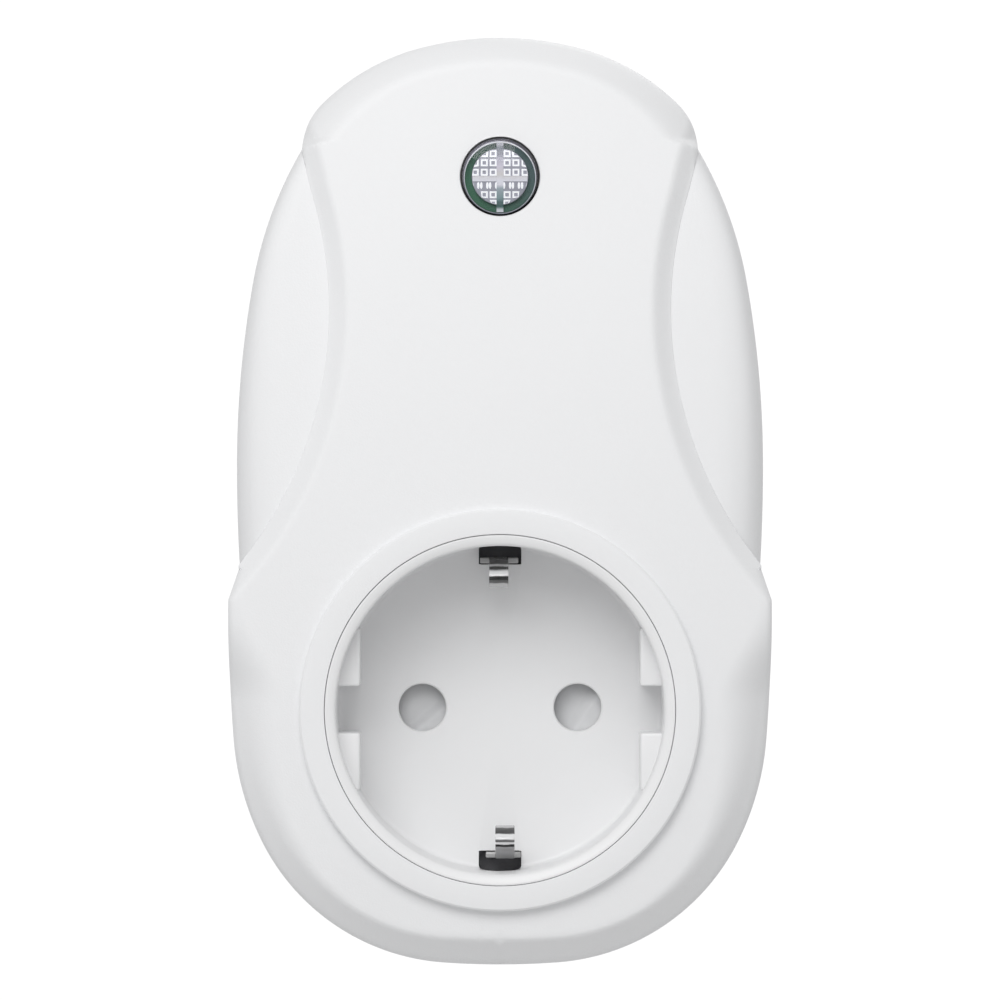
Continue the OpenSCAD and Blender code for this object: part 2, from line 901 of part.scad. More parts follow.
module relay_cover() upright() color("black") {
    low = board_z + relay_base_t;
    inner = [relay_w - 2 * relay_wall, relay_l - 2 * relay_wall];
    difference() {
        block(relay_at, [relay_w, relay_l], low, low + relay_h - relay_base_t);
        block(relay_at, inner, low - 1, low + relay_h - relay_base_t - relay_wall);
    }
}

module relay_frame() upright() color("gray") {
    foot_z = board_z + relay_base_t;
    translate([relay_at.x, relay_at.y, foot_z]) {
        block([0, 0], [9, 13.4], 0.1, 1.2);
        block([0, relay_hinge_y], [9, 1.2], 0.1, relay_armature_z - 0.85);
        rod([0, 0], 2, 1, relay_armature_z - 1);
        rod([0, 0], 3, relay_armature_z - 1.3, relay_armature_z - 0.7);
    }
}

module relay_bobbin() upright() color("ivory") {
    foot_z = board_z + relay_base_t;
    translate([relay_at.x, relay_at.y, foot_z]) rotate_extrude() {
        translate([2.05, 1.3]) square([0.65, 9.2]);
        translate([2.05, 1.3]) square([3.5, 0.6]);
        translate([2.05, 9.9]) square([3.5, 0.6]);
    }
}

module relay_coil() upright() color("chocolate") {
    foot_z = board_z + relay_base_t;
    translate([relay_at.x, relay_at.y, foot_z]) rotate_extrude()
        translate([2.75, 1.95]) square([2.45, 7.9]);
}

module relay_armature() upright() color("gray") {
    foot_z = board_z + relay_base_t;
    translate([relay_at.x, relay_at.y, foot_z]) {
        block([0, -0.6], [8.4, 11.6], relay_armature_z, relay_armature_z + 0.9);
        translate([-4.2, relay_hinge_y, relay_armature_z]) rotate([0, 90, 0]) cylinder(r = 0.5, h = 8.4);
        block([0, 5.9], [3, 3], relay_armature_z + 0.1, relay_armature_z + 0.5);
        rod([0, 6.6], 0.9, relay_armature_z - 0.4, relay_armature_z + 0.3);
    }
}

module relay_contact() upright() color("goldenrod") {
    foot_z = board_z + relay_base_t;
    translate([relay_at.x, relay_at.y, foot_z]) {
        block([0, 8], [3.4, 0.6], 0.1, relay_armature_z - 1.2);
        block([0, 7.1], [3.4, 2.4], relay_armature_z - 1.8, relay_armature_z - 1.3);
        rod([0, 6.6], 0.9, relay_armature_z - 1.4, relay_armature_z - 0.95);
    }
}

module supply_capacitor() upright() color("navy") {
    height = 13;
    translate([capacitor_at.x, capacitor_at.y, board_z]) rotate_extrude() {
        square([4, 1.6]);
        square([3.7, 2.6]);
        translate([0, 2.4]) square([4, height - 3]);
        square([3.4, height]);
    }
    leads(capacitor_leads, board_z + 0.5);
}

module film_capacitor() upright() color("gold") {
    block([7.5, 52.5], [17, 7.2], board_z + 0.1, board_z + 12);
    leads(film_leads, board_z + 0.5);
}

module transformer_core() upright() color("dimgray") {
    translate([transformer_at.x, transformer_at.y, board_z]) difference() {
        block([0, 0], [9.6, 6], 0.6, 11.6);
        block([3, 0], [2.4, 8], 2.6, 9.6);
        block([-3, 0], [2.4, 8], 2.6, 9.6);
    }
}

module transformer_winding() upright() color("orange") {
    translate([transformer_at.x, transformer_at.y, board_z]) difference() {
        union() {
            block([0, 0], [8.2, 10.6], 2.7, 9.5);
            block([0, 5.3], [9.4, 1.6], 0.1, 10.4);
            block([0, -5.3], [9.4, 1.6], 0.1, 10.4);
        }
        block([0, 0], [3.8, 7], 2.6, 9.6);
        both_sides() block([4.65, 0], [1, 8], 2.6, 9.6);
    }
    leads(transformer_leads, board_z + 0.5);
}

module varistor() upright() color("royalblue") {
    translate([-16.5, 56, board_z + 6.2]) rotate([90, 0, 0])
        cylinder(r = 5, h = 3.6, center = true);
    leads(varistor_leads, board_z + 4);
}

module fuse() upright() color("tan") {
    axis_z = board_z + 3.4;
    translate([-6.4, 63, axis_z]) rotate([0, 90, 0]) cylinder(r = 1.9, h = 12.8);
    both_sides() translate([5.9, 63, axis_z]) rotate([0, 90, 0]) cylinder(r = 2.2, h = 3);
    both_sides() translate([8.8, 63, axis_z]) rotate([0, 90, 0]) cylinder(r = lead_r, h = 0.7);
    leads(fuse_leads, axis_z);
}

module current_shunt() upright() color("peru") {
    block([-3, 57], [8.9, 1.4], board_z + 3.2, board_z + 4);
    for (at = shunt_leads) {
        block(at, [0.9, 1.4], board_z + 0.1, board_z + 4);
    }
    leads(shunt_leads, board_z + 0.4);
}

module metering_chip() upright() color("black") {
    at = [19.6, 55.8];
    block(at, [4, 6], board_z + 0.2, board_z + 1.7);
    for (row = [-2.1 : 1.4 : 2.1]) {
        block(at + [0, row], [6, 0.5], board_z, board_z + 0.5);
    }
}

// ---- radio board, upright at the right of the main board ----

module radio_board() upright() color("darkgreen") {
    block([21.6, 44.5], [1, 17], board_z + 2.5, board_z + 15.5);
}

module radio_shield() upright() color("silver") {
    difference() {
        block([20, 43], [2.2, 12], board_z + 4, board_z + 13.6);
        block([20.4, 43], [2.4, 11.4], board_z + 4.3, board_z + 13.3);
    }
}

module radio_header() upright() color("black") {
    block([21.6, 44.5], [2.2, 12.6], board_z + 0.05, board_z + 2.5);
}

// ---- button ----

module button_board() upright() color("green") {
    difference() {
        block([0, button_y], [25, 11.5], button_board_z - 1.2, button_board_z);
        for (at = button_screw_at) {
            rod(at, 1.15, button_board_z - 2, button_board_z + 1);
        }
    }
}

module button_board_screws() upright() color("silver") {
    for (at = button_screw_at) {
        screw(at, 1.9, button_board_z - 2.5, 1.3, 1, button_board_z + 4);
    }
}

module switch_body() upright() color("black") {
    difference() {
        block([0, button_y], [6, 6], button_board_z, button_board_z + 3.1);
        rod([0, button_y], 1.8, button_board_z + 1.2, button_board_z + 4);
    }
}

module switch_plunger() upright() color("black") {
    rod([0, button_y], 1.72, button_board_z + 1.2 + button_travel + 0.1, button_board_z + 3.8);
}

module status_leds() upright() color("lightyellow") {
    both_sides() block([4.6, button_y], [1.6, 2.2], button_board_z, button_board_z + 0.9);
}

module button_lens() upright() color("azure", 0.5) {
    flange_z = front_z - 6.4;
    top_z = front_z - 2.5;
    bevel = 0.45;
    translate([0, button_y, 0]) rotate_extrude() difference() {
        polygon([
            [3.5, flange_z],
            [button_r + 1.4, flange_z],
            [button_r + 1.4, flange_z + 1],
            [button_r, flange_z + 1],
            [button_r, top_z - bevel],
            [button_r - bevel, top_z],
            [0, top_z],
            [0, top_z - 1.3],
            [3.5, top_z - 1.3]
        ]);
    }
}

// White disc under the clear lens, with a raised grid, a cross and a stem that works the switch.
module light_diffuser() upright() color("white") {
    top_z = front_z - 2.5 - 1.3 - 0.3;
    stem_low_z = button_board_z + 3.8 + touch_gap;
    pitch = 1.15;
    stud = 0.75;
    rib_w = 0.9;
    rod([0, button_y], 3.45, top_z - 1, top_z - 0.25);
    rod([0, button_y], 1.7, stem_low_z, top_z - 0.5);
    intersection() {
        rod([0, button_y], 3.45, top_z - 0.5, top_z + 0.2);
        union() {
            block([0, button_y], [rib_w, 7], top_z - 0.5, top_z + 0.15);
            block([0, button_y], [7, rib_w], top_z - 0.5, top_z + 0.15);
            for (column = [-2.5 : 1 : 2.5]) {
                for (row = [-2.5 : 1 : 2.5]) {
                    block([column * pitch, button_y + row * pitch], [stud, stud], top_z - 0.5, top_z);
                }
            }
        }
    }
}

// ---- wiring ----

module button_cable() upright() color("gray") {
    wire(rounded([[6, 60.5, button_board_z - 1.2], [6, 60.5, 39.4], [17.9, 51.2, 38.6], [17.9, 51.2, board_z]],
        1.5), 0.6, [1, 1, 0], wire_sides);
}

module socket_wire(side) {
    x = side * pin_x;
    wire(rounded([[x, 2.5, chamber_z - 3], [x, 9.2, chamber_z - 3], [x, 13.4, 22.4], [x, 21.6, 21.8],
        [x, 25.4, 30], [x, 29.3, 30], [x, 29.3, board_z + 1.6]], 1.8), 1.2, [1, 0, 0], wire_sides);
}

module plug_wire(side) {
    x = side * 4.8;
    wire(rounded([[side * pin_x, 0, 9.4], [side * pin_x, 0, 13], [x, 9, 13], [x, 14.6, 21.8], [x, 21.6, 21.8],
        [x, 25.4, 30], [x, 29.3, 30], [x, 29.3, board_z + 1.6]], 1.8), 1.2, [1, 0.1, 0.1], wire_sides);
}

module live_wire() upright() color("brown") {
    plug_wire(-1);
}

module neutral_wire() upright() color("royalblue") {
    plug_wire(1);
}

module live_load_wire() upright() color("brown") {
    socket_wire(-1);
}

module neutral_load_wire() upright() color("royalblue") {
    socket_wire(1);
}

front_shell();
rear_shell();
housing_screws();
rating_label();
socket_insert();
contact_carrier();
carrier_screws();
safety_shutter();
shutter_spring();
live_contact();
neutral_contact();
front_earth_bracket();
rear_earth_bracket();
earth_pin_socket();
earth_pillar();
earth_screws();
live_pin();
neutral_pin();
pin_retainer();
retainer_screws();
main_board();
board_screws();
wire_terminals();
relay_base();
relay_cover();
relay_frame();
relay_bobbin();
relay_coil();
relay_armature();
relay_contact();
supply_capacitor();
film_capacitor();
transformer_core();
transformer_winding();
varistor();
fuse();
current_shunt();
metering_chip();
radio_board();
radio_shield();
radio_header();
button_board();
button_board_screws();
switch_body();
switch_plunger();
status_leds();
button_lens();
light_diffuser();
button_cable();
live_wire();
neutral_wire();
live_load_wire();
neutral_load_wire();
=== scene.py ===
"""Plug-in power meter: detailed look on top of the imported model. Lengths are in mm in a drawing frame,
x to the right, y up the body, z towards the viewer, and turn into the row's frame at the end."""
import json
import math

import bmesh
import bpy
import numpy as np
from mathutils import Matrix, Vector, geometry


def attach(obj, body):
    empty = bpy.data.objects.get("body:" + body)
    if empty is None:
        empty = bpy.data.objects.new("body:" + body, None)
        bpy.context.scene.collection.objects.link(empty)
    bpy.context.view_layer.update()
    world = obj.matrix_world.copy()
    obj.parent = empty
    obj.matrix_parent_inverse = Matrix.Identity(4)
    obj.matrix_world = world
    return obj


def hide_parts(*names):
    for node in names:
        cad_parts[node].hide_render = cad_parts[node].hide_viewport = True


MM = 0.001
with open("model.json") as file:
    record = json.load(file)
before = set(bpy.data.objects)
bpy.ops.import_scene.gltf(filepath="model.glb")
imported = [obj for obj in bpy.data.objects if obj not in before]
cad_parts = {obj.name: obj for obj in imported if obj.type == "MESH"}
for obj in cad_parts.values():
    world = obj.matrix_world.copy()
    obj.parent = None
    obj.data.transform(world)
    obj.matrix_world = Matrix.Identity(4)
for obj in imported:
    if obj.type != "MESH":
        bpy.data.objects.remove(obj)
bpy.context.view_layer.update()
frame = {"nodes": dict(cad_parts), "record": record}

# ---------------------------------------------------------------- camera

CAMERA_HEIGHT = 25.4
RIM_Z = 54.0
CAMERA_DISTANCE = 1300.0
camera_data = bpy.data.cameras.new("camera")
camera_data.lens = 387.5
camera_data.sensor_width = 36
camera_data.clip_end = 50
camera = bpy.data.objects.new("camera", camera_data)
camera.location = (0, -(RIM_Z + CAMERA_DISTANCE) * MM, CAMERA_HEIGHT * MM)
camera.rotation_euler = (math.radians(90), 0, 0)
bpy.context.scene.collection.objects.link(camera)
bpy.context.scene.camera = camera

# ---------------------------------------------------------------- housing form

DOME_TOP = 82.0
BODY_BOTTOM = 31.3
WING_HALF_W = 32.2
WING_WIDEST_Y = 29.6
PARTING_Z = 31.0
FRONT_Z = 53.2
CROWN_R = 600.0
CROWN_Y = 5.0
CUT_R = 51.0
CUT_X = 69.6
CUT_Y = 48.4
BAND_W = 2.1
STEP_DEPTH = 2.0
SHOULDER_CUT = ((32.75, 13.7), (31.63, 17.05))
COLLAR_R = 24.25
INSERT_R = 21.2
RECESS_R = 19.85
RECESS_DEPTH = 17.5
FLOOR_Z = RIM_Z - RECESS_DEPTH
BUTTON_Y = 64.6
BUTTON_R = 4.6
PIN_X = 9.5
DOME_TURNS = [(38.4, -14.9), (26.7, -29.6), (8.3, -44.8), (60, -9)]
LOW_TURNS = [(98, 4.1), (26.8, 59.4), (33.9, 22), (185, 6.45)]
WING_TURNS = [(213, 4.6), (128, 10.2), (48.7, 24)]
DEEP = 90.0
OUTLINE_MIDDLE = np.array([0.0, 25.4])
OUTLINE_SCALE = 0.994
LOW_RIM_Z = 48.3
DOME_RIM_Z = 44.5
WING_RIM_Z = 44.4
WING_ROUND = 6.0
DOME_CURVE = 3.1
SHELL_EDGE_R = 0.7
EDGE_FULLNESS = 0.95
RISE_CLEAR = 6.0


def heading(angle):
    return np.array([math.cos(math.radians(angle)), math.sin(math.radians(angle))])


def tangent_arcs(point, angle, turns):
    """Arcs of a smooth outline as (centre, radius, start, end), drawn in for the mould's draft."""
    arcs = []
    at = np.array(point, float)
    for radius, turn in turns:
        centre = at - radius * heading(angle)
        drawn_in = OUTLINE_MIDDLE + (centre - OUTLINE_MIDDLE) * OUTLINE_SCALE
        arcs.append((drawn_in, radius * OUTLINE_SCALE, angle, angle + turn))
        angle += turn
        at = centre + radius * heading(angle)
    return arcs


DOME = tangent_arcs((0, DOME_TOP), 90, DOME_TURNS)
LOW = tangent_arcs((0, -BODY_BOTTOM), -90, LOW_TURNS)
WING_R, WING_LEAN = WING_TURNS[0]
WING_FOOT = np.array([WING_HALF_W, WING_WIDEST_Y]) + WING_R * (heading(-WING_LEAN) - heading(0))
WING = tangent_arcs(WING_FOOT, -WING_LEAN, WING_TURNS)
SHOULDER_Y = (LOW[-1][0] + LOW[-1][1] * heading(LOW[-1][3]))[1]
DOME_FOOT_Y = (DOME[-1][0] + DOME[-1][1] * heading(DOME[-1][3]))[1]


def depth_inside(arcs, x, y):
    """Depth inside an outline, and whether the point faces one of its arcs."""
    depth = np.full(x.shape, DEEP)
    faced = np.zeros(x.shape, bool)
    for centre, radius, start, end in arcs:
        dx, dy = x - centre[0], y - centre[1]
        angle = np.degrees(np.arctan2(dy, dx))
        low, high = min(start, end) - 0.02, max(start, end) + 0.02
        here = (angle >= low) & (angle <= high)
        depth = np.where(here, np.minimum(depth, radius - np.hypot(dx, dy)), depth)
        faced |= here
    return depth, faced


def soft_min(a, b, k):
    h = np.maximum(k - np.abs(a - b), 0) / k
    return np.minimum(a, b) - h * h * k / 4


def soft_max(a, b, k):
    return -soft_min(-a, -b, k)


def crown(x, y):
    return FRONT_Z - (x * x + (y - CROWN_Y) ** 2) / (2 * CROWN_R)


def ease(t):
    t = np.clip(t, 0, 1)
    return t * t * (3 - 2 * t)


def cut_bend(y):
    """How far the side cut's edge leaves its circle, inwards, towards the notch under the dome."""
    return 0.75 * ease((y - 62) / 9)


def edge_round(depth, r):
    """Drop of a surface towards a rounded outline of radius r."""
    rest = (r - np.clip(depth, 0, r)) * EDGE_FULLNESS
    return r - np.sqrt(r * r - rest * rest)


def shoulder_depth(x, y):
    """Depth inside the slanting end of the side band at the shoulder."""
    (x0, y0), (x1, y1) = SHOULDER_CUT
    length = math.hypot(x1 - x0, y1 - y0)
    return ((x - x0) * (y1 - y0) - (y - y0) * (x1 - x0)) / -length


def dome_slope_depth(x, y, d_dome):
    """Depth used for the dome's slope, which runs on past the tight bend of the outline at the notch."""
    centre, radius, _, end = DOME[1]
    angle = np.degrees(np.arctan2(y - centre[1], x - centre[0]))
    return np.where(angle < end, radius - np.hypot(x - centre[0], y - centre[1]), d_dome)


def form(x, y):
    """Height of the front shell, and whether the point is on it."""
    ax = np.abs(x)
    rho = np.hypot(ax - CUT_X, y - CUT_Y) - cut_bend(y)
    d_low, _ = depth_inside(LOW, ax, y)
    d_low = np.minimum(d_low, shoulder_depth(ax, y))
    d_dome, _ = depth_inside(DOME, ax, y)
    d_wing, wing_faced = depth_inside(WING, ax, y)
    depth = np.where(y < SHOULDER_Y, d_low, np.where(y > DOME_FOOT_Y, d_dome, DEEP))
    on_front = (depth > -1e-4) & (rho > CUT_R - BAND_W) & ((depth < DEEP) | (d_wing > -1e-4))
    on_wing = wing_faced & (d_wing > -1e-4) & (ax > 12) & (y > 12)
    top = crown(x, y)
    # the sloping rim is crisp at the bottom, softer up the sides, and lifts clear of the face beside the band
    softer = np.clip((y + 24) / 36, 0, 1)
    low_rim = LOW_RIM_Z + depth / 0.8 - 0.8 * softer + 7.0 * ease((y - 1) / 13)
    low_k = 0.5 + 3.4 * softer
    slope = dome_slope_depth(ax, y, d_dome)
    curved = np.clip(slope, -1, DOME_CURVE)
    dome_rim = DOME_RIM_Z + 1.75 * curved - 0.13 * curved ** 2 + 1.0 * (slope - curved)
    dome_rim = dome_rim + 2.4 * ease((69.5 - y) / 2)
    dome_rim = dome_rim + RISE_CLEAR * ease((67.5 - y) / 4)
    dome_k = 0.55 + 0.25 * np.clip((78 - y) / 12, 0, 1)
    low_half = y < 40
    front = soft_min(top, np.where(low_half, low_rim, dome_rim), np.where(low_half, low_k, dome_k))
    band = front - STEP_DEPTH * (CUT_R - rho) / BAND_W
    front = soft_min(front, band, 0.45)
    front = front - edge_round(depth, SHELL_EDGE_R) * (depth < SHELL_EDGE_R)
    short = WING_ROUND - np.clip(d_wing, 0, WING_ROUND)
    rise = np.sqrt(np.maximum(WING_ROUND ** 2 - short ** 2, 0))
    wing = soft_min(top - STEP_DEPTH, WING_RIM_Z + rise + 0.12 * np.maximum(d_wing - 3, 0), 1.6)
    both = on_front & on_wing
    height = np.where(on_front, front, wing)
    height = np.where(both, soft_max(front, wing, 0.5), height)
    return height, on_front | on_wing


def arc_line(arcs, inset, spacing):
    points = []
    for centre, radius, start, end in arcs:
        steps = max(2, int(math.radians(abs(end - start)) * radius / spacing))
        for i in range(steps):
            points.append(centre + (radius - inset) * heading(start + (end - start) * i / steps))
    centre, radius, start, end = arcs[-1]
    points.append(centre + (radius - inset) * heading(end))
    return points


def circle_line(cx, cy, r, start, end, steps):
    return [np.array([cx, cy]) + r * heading(start + (end - start) * i / steps) for i in range(steps + 1)]


def form_mesh():
    """Triangles of the right half of the front shell's plan, with lines along every edge of its form."""
    verts, edges = [], []

    def line(points, keep=None):
        last = None
        for p in points:
            if p[0] < 0 or (keep is not None and not keep(p)):
                last = None
                continue
            verts.append((float(p[0]), float(p[1])))
            if last is not None:
                edges.append((last, len(verts) - 1))
            last = len(verts) - 1

    def outside_cut(p):
        return math.hypot(p[0] - CUT_X, p[1] - CUT_Y) > CUT_R - BAND_W - 0.4

    def inside_cut(p):
        return math.hypot(p[0] - CUT_X, p[1] - CUT_Y) < CUT_R + 0.2

    for inset in [0, 0.02, 0.07, 0.16, 0.3, 0.48, 0.7, 1.1, 1.5, 1.9, 2.3, 2.7, 3.1, 3.5, 4.0, 4.6, 5.4, 6.4,
                  7.6]:
        line(arc_line(LOW, inset, 0.7), outside_cut)
        line(arc_line(DOME, inset, 0.7), outside_cut)
    for inset in [0, 0.02, 0.07, 0.15, 0.3, 0.5, 0.8, 1.15, 1.6, 2.1, 2.7, 3.4, 4.3, 5.3, 6.3]:
        line(arc_line(WING, inset, 0.7), inside_cut)
    for out in [-2.9, -2.5, -2.25, -2.13, -2.07, -1.95, -1.7, -1.2, -0.7, -0.35, -0.15, 0.0, 0.15, 0.35, 0.7]:
        ring_line = circle_line(CUT_X, CUT_Y, CUT_R + out, 146, 226, 110)
        line([p - np.array([cut_bend(p[1]), 0]) for p in ring_line])
    (x0, y0), (x1, y1) = SHOULDER_CUT
    for inset in [0, 0.04, 0.12, 0.24, 0.4, 0.55, 0.7, 0.9]:
        line([np.array([x0 + (x1 - x0) * t - inset, y0 + (y1 - y0) * t]) for t in np.linspace(-0.2, 1, 15)])
    for r in [COLLAR_R + 0.02, COLLAR_R + 0.8, COLLAR_R + 1.8]:
        line(circle_line(0, 0, r, -90, 90, 128))
    for r in [BUTTON_R + 0.22, BUTTON_R + 0.3, BUTTON_R + 0.42, BUTTON_R + 0.6, BUTTON_R + 1.2]:
        line(circle_line(0, BUTTON_Y, r, -90, 90, 64))
    line([np.array([0.0, y]) for y in np.linspace(-BODY_BOTTOM, DOME_TOP, 90)])
    grid, columns, rows = 1.6, 22, 72
    for i in range(1, columns):
        for j in range(rows):
            verts.append((i * grid, -31 + j * grid))
    points = [Vector(v) for v in verts]
    out_v, _, out_f, _, _, _ = geometry.delaunay_2d_cdt(points, edges, [], 0, 1e-5)
    xy = np.array([(v[0], v[1]) for v in out_v])
    tris = np.array([list(f) for f in out_f])
    mid = xy[tris].mean(axis=1)
    _, inside = form(mid[:, 0], mid[:, 1])
    open_socket = np.hypot(mid[:, 0], mid[:, 1]) > COLLAR_R
    open_button = np.hypot(mid[:, 0], mid[:, 1] - BUTTON_Y) > BUTTON_R + 0.2
    return xy, tris[inside & open_socket & open_button & (mid[:, 0] > 0)]


# ---------------------------------------------------------------- mesh helpers


def to_row(points):
    p = np.asarray(points, float) * MM
    return np.stack([p[:, 0], -p[:, 2], p[:, 1]], axis=1)


def new_object(name, points, faces, material):
    mesh = bpy.data.meshes.new(name)
    mesh.from_pydata(to_row(points).tolist(), [], [list(map(int, f)) for f in faces])
    mesh.materials.append(material)
    mesh.validate(clean_customdata=False)
    obj = bpy.data.objects.new(name, mesh)
    bpy.context.scene.collection.objects.link(obj)
    return obj


def smooth(obj, angle=32):
    obj.data.shade_smooth()
    obj.data.set_sharp_from_angle(angle=math.radians(angle))
    return obj


def revolved(profile, segments=192, at=(0, 0), closed=False):
    """Points and faces of a profile of (radius, z), ordered so that the outside is to its right going up."""
    n = len(profile)
    points, faces = [], []
    for i in range(segments):
        c, s = math.cos(2 * math.pi * i / segments), math.sin(2 * math.pi * i / segments)
        points += [(at[0] + r * c, at[1] + r * s, z) for r, z in profile]
    rows = n if closed else n - 1
    for i in range(segments):
        a, b = i * n, ((i + 1) % segments) * n
        for k in range(rows):
            j = (k + 1) % n
            faces.append((a + k, b + k, b + j, a + j))
    return points, faces


def prism(outline, low, high):
    n = len(outline)
    points = [(x, y, low) for x, y in outline] + [(x, y, high) for x, y in outline]
    faces = [tuple(reversed(range(n))), tuple(range(n, 2 * n))]
    faces += [(i, (i + 1) % n, n + (i + 1) % n, n + i) for i in range(n)]
    return points, faces


def joined(*parts):
    points, faces = [], []
    for p, f in parts:
        base = len(points)
        points += list(p)
        faces += [tuple(i + base for i in face) for face in f]
    return points, faces


def applied(obj):
    """Puts the result of an object's modifiers in place of its mesh."""
    bpy.context.view_layer.update()
    graph = bpy.context.evaluated_depsgraph_get()
    mesh = bpy.data.meshes.new_from_object(obj.evaluated_get(graph))
    obj.modifiers.clear()
    old = obj.data
    obj.data = mesh
    bpy.data.meshes.remove(old)
    return obj


def cut(obj, cutter, operation="DIFFERENCE"):
    mod = obj.modifiers.new("cut", "BOOLEAN")
    mod.object = cutter
    mod.operation = operation
    mod.solver = "EXACT"
    applied(obj)
    bpy.data.objects.remove(cutter)
    return obj


def bevelled(obj, width, segments=3, angle=35):
    mod = obj.modifiers.new("bevel", "BEVEL")
    mod.width = width * MM
    mod.segments = segments
    mod.limit_method = "ANGLE"
    mod.angle_limit = math.radians(angle)
    return applied(obj)


# ---------------------------------------------------------------- materials


def spread(nodes, links, value, low, high, to_low=0.0, to_high=1.0):
    """A value carried from one range to another and held at its ends."""
    node = nodes.new("ShaderNodeMapRange")
    node.inputs["From Min"].default_value = low
    node.inputs["From Max"].default_value = high
    node.inputs["To Min"].default_value = to_low
    node.inputs["To Max"].default_value = to_high
    links.new(value, node.inputs["Value"])
    return node.outputs["Result"]


def place(nodes, links, kind="Object"):
    """The three coordinates of the place being shaded."""
    where = nodes.new("ShaderNodeTexCoord")
    split = nodes.new("ShaderNodeSeparateXYZ")
    links.new(where.outputs[kind], split.inputs["Vector"])
    return split.outputs


def maths(nodes, links, operation, *values):
    node = nodes.new("ShaderNodeMath")
    node.operation = operation
    for i, value in enumerate(values):
        if isinstance(value, float):
            node.inputs[i].default_value = value
        else:
            links.new(value, node.inputs[i])
    return node.outputs["Value"]


def tone_ramp(nodes, links, value, stops):
    """Colour that follows a value through (position, colour) stops."""
    ramp = nodes.new("ShaderNodeValToRGB")
    elements = ramp.color_ramp.elements
    elements.remove(elements[-1])
    for i, (at, tone) in enumerate(stops):
        element = elements[0] if i == 0 else elements.new(at)
        element.position = at
        element.color = (*tone, 1)
    links.new(value, ramp.inputs["Fac"])
    return ramp.outputs["Color"]


def material(name, color, rough, metal=0.0, grain=0.0, grain_size=0.3, vary=0.03, rough_vary=0.05,
             scratch=False, glow=0.0):
    """Plastic or metal with slight changes of colour and roughness and a fine surface grain; glow paints
    light into it in its own colour.
    """
    m = bpy.data.materials.new(name)
    m.use_nodes = True
    nodes, links = m.node_tree.nodes, m.node_tree.links
    shader = nodes["Principled BSDF"]
    shader.inputs["Metallic"].default_value = metal
    shader.inputs["Emission Color"].default_value = (*color, 1)
    shader.inputs["Emission Strength"].default_value = glow
    where = nodes.new("ShaderNodeTexCoord")
    broad = nodes.new("ShaderNodeTexNoise")
    broad.inputs["Scale"].default_value = 60
    broad.inputs["Detail"].default_value = 3
    links.new(where.outputs["Object"], broad.inputs["Vector"])
    tint = nodes.new("ShaderNodeMix")
    tint.data_type = "RGBA"
    links.new(broad.outputs["Fac"], tint.inputs["Factor"])
    tint.inputs[6].default_value = (*[c * (1 - vary) for c in color], 1)
    tint.inputs[7].default_value = (*[min(1, c * (1 + vary)) for c in color], 1)
    links.new(tint.outputs[2], shader.inputs["Base Color"])
    fine = nodes.new("ShaderNodeTexNoise")
    fine.inputs["Scale"].default_value = 1000 / grain_size
    fine.inputs["Detail"].default_value = 2
    if scratch:
        stretch = nodes.new("ShaderNodeMapping")
        stretch.inputs["Scale"].default_value = (1, 0.05, 1)
        links.new(where.outputs["Object"], stretch.inputs["Vector"])
        links.new(stretch.outputs["Vector"], fine.inputs["Vector"])
    else:
        links.new(where.outputs["Object"], fine.inputs["Vector"])
    roughness = spread(nodes, links, broad.outputs["Fac"], 0, 1, max(0.02, rough - rough_vary),
                       min(1, rough + rough_vary))
    links.new(roughness, shader.inputs["Roughness"])
    bump = nodes.new("ShaderNodeBump")
    bump.inputs["Strength"].default_value = grain
    bump.inputs["Distance"].default_value = 0.05 * MM
    links.new(fine.outputs["Fac"], bump.inputs["Height"])
    links.new(bump.outputs["Normal"], shader.inputs["Normal"])
    return m


def clear_material(name):
    """Clear plastic that shows what lies under it without bending it."""
    m = material(name, (0.93, 0.95, 0.96), 0.06, grain=0.02)
    nodes, links = m.node_tree.nodes, m.node_tree.links
    through = nodes.new("ShaderNodeBsdfTransparent")
    through.inputs["Color"].default_value = (0.975, 0.98, 0.985, 1)
    gloss = nodes.new("ShaderNodeBsdfGlossy")
    gloss.inputs["Roughness"].default_value = 0.07
    facing = nodes.new("ShaderNodeFresnel")
    facing.inputs["IOR"].default_value = 1.42
    mix = nodes.new("ShaderNodeMixShader")
    links.new(facing.outputs["Fac"], mix.inputs["Fac"])
    links.new(through.outputs["BSDF"], mix.inputs[1])
    links.new(gloss.outputs["BSDF"], mix.inputs[2])
    links.new(mix.outputs["Shader"], nodes["Material Output"].inputs["Surface"])
    return m


